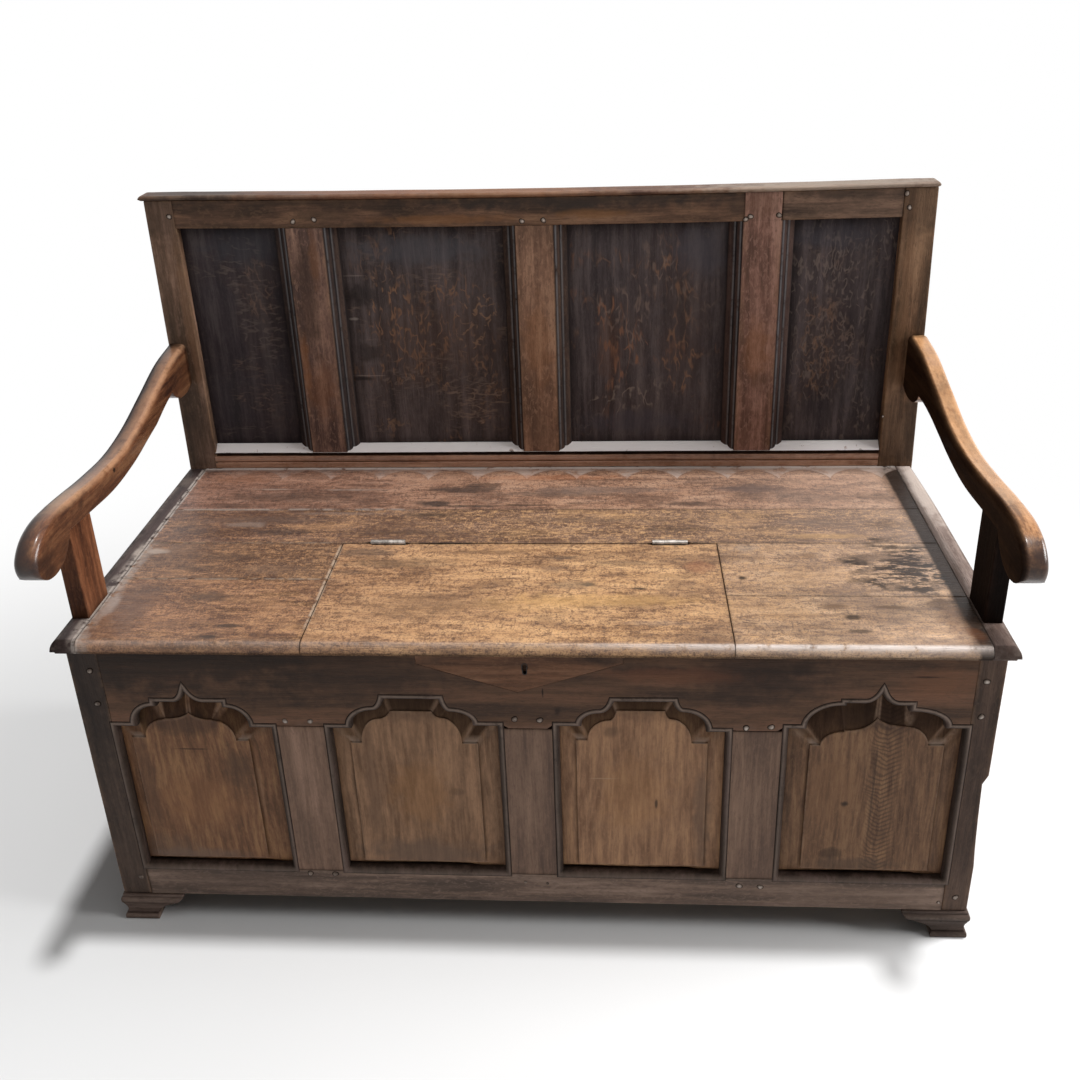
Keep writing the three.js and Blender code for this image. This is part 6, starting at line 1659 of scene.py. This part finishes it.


# Grey-blue spots near the top of each panel, and the low one on panel three, are painted reflection.
back_panel_looks = [
    (120, ("292326", "393134", "4e4646"),
     rays((1.0, (0.25, 1, 0.7), 0.44, "75675f", 0.38, -450, 760, 60, 140),
          (1.3, (0.6, 1, 0.3), 0.34, "8a6d5c", 0.35, -440, 800, 30, 60),
          (1.5, (0.3, 1, 0.8), 0.38, "6e5a50", 0.5, -450, 650, 60, 70)),
     [(-450, 880, 80, 40, "3b3c42", 0.5)]),
    (121, ("332c2c", "4b4140", "655a59"),
     rays((2.0, (0.62, 1, 0.26), 0.44, "8f6a50", 0.75, -195, 730, 80, 85),
          (2.5, (0.5, 1, 0.42), 0.4, "96755d", 0.7, -105, 720, 55, 80),
          (2.7, (0.22, 1, 0.75), 0.44, "8a7466", 0.6, -110, 620, 90, 45),
          (2.9, (0.3, 1, 0.6), 0.36, "76655b", 0.5, -180, 640, 120, 80)),
     [(-180, 868, 140, 30, "505056", 0.5), (-285, 795, 36, 22, "150f0e", 0.6),
      (-275, 700, 26, 20, "1a1312", 0.6), (-290, 655, 24, 5, "120d0c", 0.7),
      (-280, 660, 30, 1.6, "8f8077", 0.6), (-290, 828, 24, 1.6, "8a7d76", 0.5),
      (-296, 757, 8, 3, "9a9088", 0.7), (-165, 722, 120, 80, "4f3a30", 0.35)]),
    (122, ("312a2b", "473e3f", "605655"),
     rays((3.0, (0.6, 1, 0.17), 0.38, "8f634a", 0.65, 125, 720, 50, 110),
          (3.4, (0.62, 1, 0.2), 0.38, "946d52", 0.6, 225, 730, 45, 130),
          (3.6, (0.55, 1, 0.2), 0.36, "7d6a60", 0.55, 170, 790, 110, 100),
          (3.8, (0.5, 1, 0.3), 0.36, "8b7c72", 0.55, 160, 620, 90, 40)),
     [(255, 860, 60, 50, "4b484f", 0.5), (150, 575, 120, 26, "46424a", 0.45),
      (110, 700, 22, 70, "5c3e2f", 0.35), (230, 740, 50, 120, "463630", 0.3)]),
    (123, ("2b2528", "3f3738", "574d4e"),
     rays((4.0, (0.75, 1, 0.3), 0.48, "83736a", 0.45, 450, 760, 90, 150),
          (4.3, (0.5, 1, 0.4), 0.42, "7d675b", 0.5, 470, 700, 60, 70),
          (4.6, (0.62, 1, 0.3), 0.36, "87664f", 0.4, 430, 700, 40, 90)),
     [(450, 880, 90, 26, "434148", 0.4)]),
]
muntin_edges = [-post_inner - 9.0] + [m + MUNTIN_HALF + MOULD_WIDTH for m in MUNTINS]
muntin_starts = [m - MUNTIN_HALF - MOULD_WIDTH for m in MUNTINS] + [post_inner]
for index, (seed, tones, extra, spots) in enumerate(back_panel_looks):
    node = f"back_panel_{index + 1}"
    low, high = span(node)
    if index == 0:
        low[0] -= 10.0
    loops, rub, grime_and_shade = squared(low, high, "z", 0.6, pitch=10)
    front = np.clip((BACK_PLANE + 18 - loops[..., 1]) / 4, 0, 1)
    inside = rising(loops[..., 2], 545, 565) * rising(loops[..., 2], 905, 885)
    waver = 0.7 * wander(loops, 70, 260, 330 + index) + 0.25 * wander(loops, 20, 50, 340 + index)
    loops[..., 1] += front * inside * waver
    x, z = loops[..., 0], loops[..., 2]
    # Painted shade darkens each panel within a few millimetres of the frame round it.
    edge_gap = np.minimum(np.minimum(x - muntin_edges[index], muntin_starts[index] - x),
                          np.minimum(z - 540, 908 - z))
    grime_and_shade = 0.75 * np.exp(-np.maximum(edge_gap, 0) / 9)
    finish = oak(f"{node}_oak", "z", tones, seed, extra=extra, mottle=0.25, rubbed="6a5a50", rub=0.0,
                 spots=on_back(spots, PANEL_FACE, PANEL_STAIN_DEPTH), grime_and_shade_tint="100d0d", waver=0.02,
                 rough=(0.42, 0.58), relief=0.5, fibre=0.2)
    fitted(node, settled(loops), "oak_dark_panel", finish, rub * 0, grime_and_shade)


# ---- Cap of the back ----------------------------------------------------------------------------
# A thin cap with a rounded edge is nailed along the top. It is the reddest piece of the back,
# bleached paler towards its right end.

def cap_loops():
    """Loops of the cap: a section with half-round edges carried from end to end, and drawn in to a
    half-round there too."""
    radius = 5.0
    turn = np.linspace(0, math.pi, 9)
    front = np.column_stack([BACK_PLANE - 6 + radius - radius * np.sin(turn), 960 - radius * np.cos(turn)])
    top = np.column_stack([np.linspace(484, 504, 5), np.full(5, 965.0)])
    rear = np.column_stack([510 - radius + radius * np.sin(turn), 960 + radius * np.cos(turn)])
    under = np.column_stack([np.linspace(504, 484, 5), np.full(5, 955.0)])
    section = np.concatenate([front, top, rear, under])
    section[:, 1] = 959.2 + (section[:, 1] - 960) * 0.84
    lead = np.linspace(0, math.pi / 2, 6)
    ends = SEAT_HALF - radius + radius * np.sin(lead)
    places = np.concatenate([-ends[::-1], np.linspace(-598, 598, 90), ends])
    half = np.concatenate([np.cos(lead)[::-1], np.ones(90), np.cos(lead)])
    loops = run_section(section, places)
    loops[..., 2] = 959.2 + (loops[..., 2] - 959.2) * half[:, None]
    loops[..., 0] -= 4.5 * rising(loops[..., 0], 560, 606)
    return loops


cap = cap_loops()
cap[..., 2] = np.where(cap[..., 2] > 957, cap[..., 2] + 0.5 * wander(cap, 60, 300, 350) - 0.4, cap[..., 2])
rub = bell(cap[..., 1], 476, 4) * (cap[..., 2] > 957)
# Painted shadow: the lower part of the rounded front edge and the underside go dark.
grime_and_shade = np.where(cap[..., 2] < 956.2, 0.9, 0.0)
cap_spots = on_back([
    (-520, 960, 100, 20, "2f2824", 0.8), (-60, 960, 200, 20, "9a6a48", 0.4),
    (440, 960, 230, 20, "a8998a", 0.6), (-250, 960, 120, 20, "7a4c34", 0.4),
])
cap_finish = oak("cap_oak", "x", ("3a271e", "54382b", "6e513f"), 130, spots=cap_spots, rubbed="a88c76",
                 rub=0.2, rough=(0.38, 0.55))
fitted("back_cap", settled(cap), "oak_back", cap_finish, rub, grime_and_shade, crease=50)

back_pegs = [(-563, 930), (-371, 921), (-338, 924), (-20, 918), (12.5, 919), (315, 914), (322, 918),
             (364, 919), (548, 946), (554, 925)]
back_peg_shells = [peg_shell(np.array([x, BACK_PLANE, z]), "front", 3.6, 400 + i)
                   for i, (x, z) in enumerate(back_pegs)]
back_peg_shells.append(peg_shell(np.array([545.0, BACK_PLANE, 588.0]), "front", 2.0, 420))
skinned("back_pegs", [settled(shell) for shell, _, _ in back_peg_shells], "base", PEG_OAK,
        traces={"rub": [rub for _, rub, _ in back_peg_shells],
                "grime_and_shade": [grime_and_shade for _, _, grime_and_shade in back_peg_shells]},
        crease=60)


# ---- Arms ---------------------------------------------------------------------------------------
# Each arm is sawn from a thick plank: it leaves the post over a rounded heel, sweeps down and
# forward, and rolls over a heavy nose. The top is rounded and polished by hands to a reddish gloss.

ARM_TOP = np.array([(480, 723), (417, 713.9), (345, 691.8), (273, 669.7), (201, 658), (130, 659.3),
                    (67, 664.5), (31, 667)])
ARM_UNDER = np.array([(403.7, 658), (363, 653.8), (300, 641.4), (233, 627.8), (166, 622.1), (94, 626.3),
                      (31, 632)])
ARM_HEEL = np.array([(479.7, 642), (466, 636), (448.6, 634), (430, 636.5), (417, 643), (408, 650),
                     (403.7, 658)])
NOSE_TOP = np.array([(31, 667), (0, 667.3), (-22, 664), (-40.3, 657), (-55, 645), (-61, 633), (-59, 620),
                     (-52.5, 611)])
NOSE_UNDER = np.array([(31, 632), (24, 621), (15.5, 612.6), (4, 604.5), (-10, 600), (-24, 599), (-40, 602.5),
                       (-52.5, 611)])


def smooth_curve(points, share):
    """A smooth curve through the points at shares of the way along it: a cubic on each stretch,
    whose slope at a point is that between its neighbours."""
    spot = np.clip(np.asarray(share, float), 0, 1) * (len(points) - 1)
    index = np.minimum(spot.astype(int), len(points) - 2)
    t = (spot - index)[:, None]
    padded = np.concatenate([2 * points[:1] - points[1:2], points, 2 * points[-1:] - points[-2:-1]])
    a, b, c, d = (padded[index + k] for k in range(4))
    bend, twist = 2 * a - 5 * b + 4 * c - d, 3 * b - a - 3 * c + d
    return 0.5 * (2 * b + (c - a) * t + bend * t ** 2 + twist * t ** 3)


def height_on(points, y):
    """Height of a smooth curve at the places y."""
    curve = smooth_curve(points, np.linspace(0, 1, 400))
    order = np.argsort(curve[:, 0])
    return np.interp(y, curve[order, 0], curve[order, 1])


def arm_loops(sign, bow, heel_lift):
    """Loops of an arm from the post to the tip of the nose. At each station a rounded rectangle
    stands between the top curve and the underside, wider rounded above than below, and all of it
    bows outwards a little on the way. The heel's underside may be cut higher."""
    heel = np.linspace(479.7, 403.7, 16)
    sweep = np.linspace(403.0, 31.0, 56)
    nose_share = np.linspace(0.0, 1.0, 26)[1:]
    tops = np.concatenate([
        np.column_stack([heel, height_on(ARM_TOP, heel)]),
        np.column_stack([sweep, height_on(ARM_TOP, sweep)]),
        smooth_curve(NOSE_TOP, nose_share)])
    unders = np.concatenate([
        np.column_stack([heel, height_on(ARM_HEEL, heel)]),
        np.column_stack([sweep, height_on(ARM_UNDER, sweep)]),
        smooth_curve(NOSE_UNDER, nose_share)])
    unders[:, 1] += heel_lift * rising(unders[:, 0], 330, 410)
    height = np.linalg.norm(tops - unders, axis=1)
    turn = np.linspace(0, math.pi / 2, 6)
    loops = []
    for top, under, tall in zip(tops, unders, height):
        up = (top - under) / max(tall, 1e-6)
        round_top, round_under = min(8.0, tall / 2), min(2.5, tall / 2)
        across, rise = [], []
        for quarter, radius, level in ((0, round_top, 1), (1, round_under, 0)):
            corner = 15 - radius + radius * np.sin(turn)
            level_in = radius * (1 - np.cos(turn))
            drop = tall - level_in if level else level_in
            if quarter:
                corner, drop = corner[::-1], drop[::-1]
            across.append(corner)
            rise.append(drop)
        face = np.linspace(rise[0][-1], rise[1][0], 6)[1:-1]
        u = np.concatenate([across[0], np.full(4, 15.0), across[1]])
        v = np.concatenate([rise[0], face, rise[1]])
        crown = 0.8 * np.clip(1 - (u / 15) ** 2, 0, 1) * (v > tall / 2) * min(1.0, tall / 20)
        u_all = np.concatenate([u, -u[::-1]])
        v_all = np.concatenate([v + crown, (v + crown)[::-1]])
        place = under[None, :] + v_all[:, None] * up[None, :]
        loops.append(np.column_stack([u_all, place]))
    loops = np.array(loops)
    out = 587 + bow * np.sin(math.pi * rising(loops[..., 1], 480, -140))
    loops[..., 0] = sign * out + loops[..., 0]
    return loops


LEFT_HEEL_LIFT = 13.0
arm_looks = {
    "left": (("3a2218", "633d28", "875e41"), [
        ((-575, 300, 680), (20, 60, 26), "5d3a26", 0.4), ((-587, -48, 625), (30, 40, 40), "2b1a14", 0.85),
        ((-587, 60, 668), (20, 60, 10), "a3805f", 0.35), ((-572, 173, 648), (4, 5, 5), "0f0a08", 0.95),
        ((-572, 134, 638), (2, 2.5, 2.5), "0f0a08", 0.9), ((-572, 70, 650), (4, 10, 10), "2b1a13", 0.6)]),
    "right": (("5c3b24", "a3734b", "d09d72"), [
        ((590, -48, 625), (30, 42, 42), "2b1912", 0.9), ((590, 380, 715), (20, 60, 12), "96786a", 0.5),
        ((590, 300, 690), (20, 60, 20), "a8774c", 0.35)]),
}


def sooty_wax(tree, place, colour):
    """Painted shade, mottled, where the arm's own trace says so."""
    soot = put(tree, "Attribute", attribute_name="soot").outputs["Fac"]
    held = scaled(tree, eased(tree, cloud(tree, place, 40.0, 3.0, 0.7), 0.3, 0.6), 0.25, 0.72)
    return laid(tree, colour, "1c110d", soot, held)


for side, sign, bow, seed in (("left", -1, 1.0, 140), ("right", 1, 3.5, 141)):
    tones, spots = arm_looks[side]
    loops = arm_loops(sign, bow, LEFT_HEEL_LIFT if side == "left" else -4.0)
    # The ridge lines are painted highlights along the top edge that faces the light, and the rub along the
    # top is wear and partly painted highlight. Painted shade covers the left arm's outer side and outer top
    # round, lightly its inner face, and the right arm's inner face and inner top round, where the grime trace
    # also dulls it.
    top_side, ridge, soot, dull = np.zeros((4, loops.shape[1]))
    if side == "left":
        top_side[:5] = [0.3, 0.6, 0.8, 0.6, 0.2]
        ridge[:5] = [0.3, 0.55, 0.55, 0.3, 0.1]
        soot[17:], soot[6:16] = 1.0, 0.4
        dull[20:31] = 0.9
    else:
        top_side[:6], top_side[-2:] = 1.0, [0.4, 0.9]
        ridge[:6], ridge[-1] = [0.3, 0.3, 0.35, 0.4, 0.3, 0.1], 0.25
        dull[17:31] = [1, 1, 1, 1, 1, 1, 1, 1, 1, 1, 1, 1, 0.95, 0.6]
    off_nose = rising(loops[..., 1], -5, 45)
    rub, ridge = top_side * off_nose, ridge * off_nose
    soot = np.tile(soot, (loops.shape[0], 1))
    grime_and_shade = dull * (off_nose if side == "left" else np.ones_like(off_nose))
    grime_and_shade[:2] = np.maximum(grime_and_shade[:2], 0.7)
    node = f"{side}_arm"
    finish = oak(f"{node}_oak", "y", tones, seed, waver=0.02, spots=spots, rubbed="b08865", rub=0.5,
                 rough=(0.26, 0.42), relief=0.22, shine=0.12, wax=0.5, patches=0.6, mottle=0.3,
                 grime_and_shade_tint="150c09", grime_and_shade=0.95, dusty="b58a6c" if side == "left" else "cf9f6e", extra=sooty_wax)
    fitted(node, hand_worked(loops), "oak_arm", finish, rub, grime_and_shade, dust=ridge, soot=soot, crease=60)

for side, sign, seed in (("left", -1, 142), ("right", 1, 143)):
    node = f"{side}_arm_support"
    x0, x1 = sorted((sign * 575.5, sign * 598.5))
    loops, rub, grime_and_shade = squared((x0, 31, SEAT_TOP - 4), (x1, 91, 636), "z", 1.2)
    grime_and_shade = np.maximum(np.exp(-np.maximum(loops[..., 2] - SEAT_TOP, 0) / 6) * 0.8,
                       0.6 if side == "right" else 0.0)
    # Painted shade: the right support is near-black and dulled by its grime, as it faces away from the light.
    tones = ("3e251a", "623c28", "80543a") if side == "left" else ("0d0806", "160d09", "22160f")
    finish = oak(f"{node}_oak", "z", tones, seed, rubbed="8d6044" if side == "left" else "4a3228", rub=0.4,
                 rough=(0.35, 0.5), shine=0.06)
    fitted(node, loops, "oak_arm", finish, rub, grime_and_shade)


# ---- Studio -------------------------------------------------------------------------------------
# The settle stands on a white floor that runs on into a white background, under a high lamp to the
# right and a broad soft light above the front, with a window on the right.

def camera_at(place, right, down, forward, focal_share, shift):
    """A camera from its place and the directions of its picture, with its focal length as a share
    of the picture's width."""
    lens = bpy.data.cameras.new("Camera")
    lens.sensor_width = 36.0
    lens.lens = 36.0 * focal_share
    lens.shift_x, lens.shift_y = shift
    lens.clip_end = 200.0
    camera = bpy.data.objects.new("Camera", lens)
    bpy.context.scene.collection.objects.link(camera)
    turn = np.eye(4)
    turn[:3, 0], turn[:3, 1], turn[:3, 2] = right, -np.array(down), -np.array(forward)
    turn[:3, 3] = place
    camera.matrix_world = Matrix(turn.tolist())
    return camera


bpy.context.scene.view_settings.view_transform = "Standard"
eye = (0.11181, -1.14493 + FRONT_PLANE, 1.29228)
bpy.context.scene.camera = camera_at(
    eye, (0.99789, 0.05657, -0.03186), (-0.00662, -0.39938, -0.91677), (-0.06459, 0.91504, -0.39816),
    1089.85 / 1080, (0.0, -120 / 1080))


def seen_directly(tree):
    """One for rays from the camera and for mirrored or refracted ones, nought for the rest."""
    path = put(tree, "LightPath").outputs
    either = sum_up(tree, "MAXIMUM", path["Is Glossy Ray"], path["Is Transmission Ray"])
    return sum_up(tree, "MAXIMUM", path["Is Camera Ray"], either)


def floor_material():
    """White floor: lit like any surface near the settle, and plain white to the camera further off,
    so that it joins the background."""
    material, tree, surface = new_material("white_floor")
    surface.inputs["Base Color"].default_value = (0.72, 0.72, 0.72, 1)
    surface.inputs["Roughness"].default_value = 0.9
    surface.inputs["Specular IOR Level"].default_value = 0.0
    glow = put(tree, "Emission")
    glow.inputs["Color"].default_value = (1, 1, 1, 1)
    place = put(tree, "TexCoord").outputs["Object"]
    far = put(tree, "VectorMath", moved(tree, "MULTIPLY", place, (0.8, 1.0, 0.0)),
              operation="LENGTH").outputs["Value"]
    share = times(tree, eased(tree, far, 0.75, 1.5), seen_directly(tree))
    mix = put(tree, "MixShader", share, surface.outputs[0], glow.outputs[0])
    tree.links.new(mix.outputs[0], tree.nodes["Material Output"].inputs["Surface"])
    return material


floor_mesh = bpy.data.meshes.new("studio_floor")
reach = 60.0
floor_mesh.from_pydata([(-reach, -reach, 0), (reach, -reach, 0), (reach, reach, 0), (-reach, reach, 0)], [],
                       [(0, 1, 2, 3)])
floor_mesh.materials.append(floor_material())
studio_floor = bpy.data.objects.new("studio_floor", floor_mesh)
bpy.context.scene.collection.objects.link(studio_floor)

world = bpy.data.worlds.new("studio")
bpy.context.scene.world = world
world.use_nodes = True
sky = world.node_tree
background = sky.nodes["Background"]
direct = sky.nodes.new("ShaderNodeBackground")
direct.inputs["Color"].default_value = (1, 1, 1, 1)
direct.inputs["Strength"].default_value = 1.0
background.inputs["Color"].default_value = (1.0, 0.985, 0.97, 1)
background.inputs["Strength"].default_value = 0.1
pick = put(sky, "MixShader", seen_directly(sky), background.outputs[0], direct.outputs[0])
sky.links.new(pick.outputs[0], sky.nodes["World Output"].inputs["Surface"])


def lamp(name, kind, place, aim, energy, **settings):
    """A lamp at a place, aimed at a point."""
    data = bpy.data.lights.new(name, kind)
    data.energy = energy
    for key, value in settings.items():
        setattr(data, key, value)
    made = bpy.data.objects.new(name, data)
    bpy.context.scene.collection.objects.link(made)
    made.location = place
    made.rotation_mode = "QUATERNION"
    made.rotation_quaternion = (Vector(aim) - Vector(place)).to_track_quat("-Z", "Y")
    return made


lamp("ceiling_lamp", "SUN", (0.46, 0.11, 3.5), (0.0, 0.0, 0.5), 2.3, angle=math.radians(4.0))
lamp("ceiling_panel", "AREA", (0.2, -0.5, 3.4), (0.0, 0.0, 0.4), 17.0, shape="RECTANGLE", size=2.4,
     size_y=2.2)
lamp("window", "AREA", (5.0, -0.1, 2.6), (0.0, 0.0, 0.4), 330.0, shape="RECTANGLE", size=2.6, size_y=2.0)
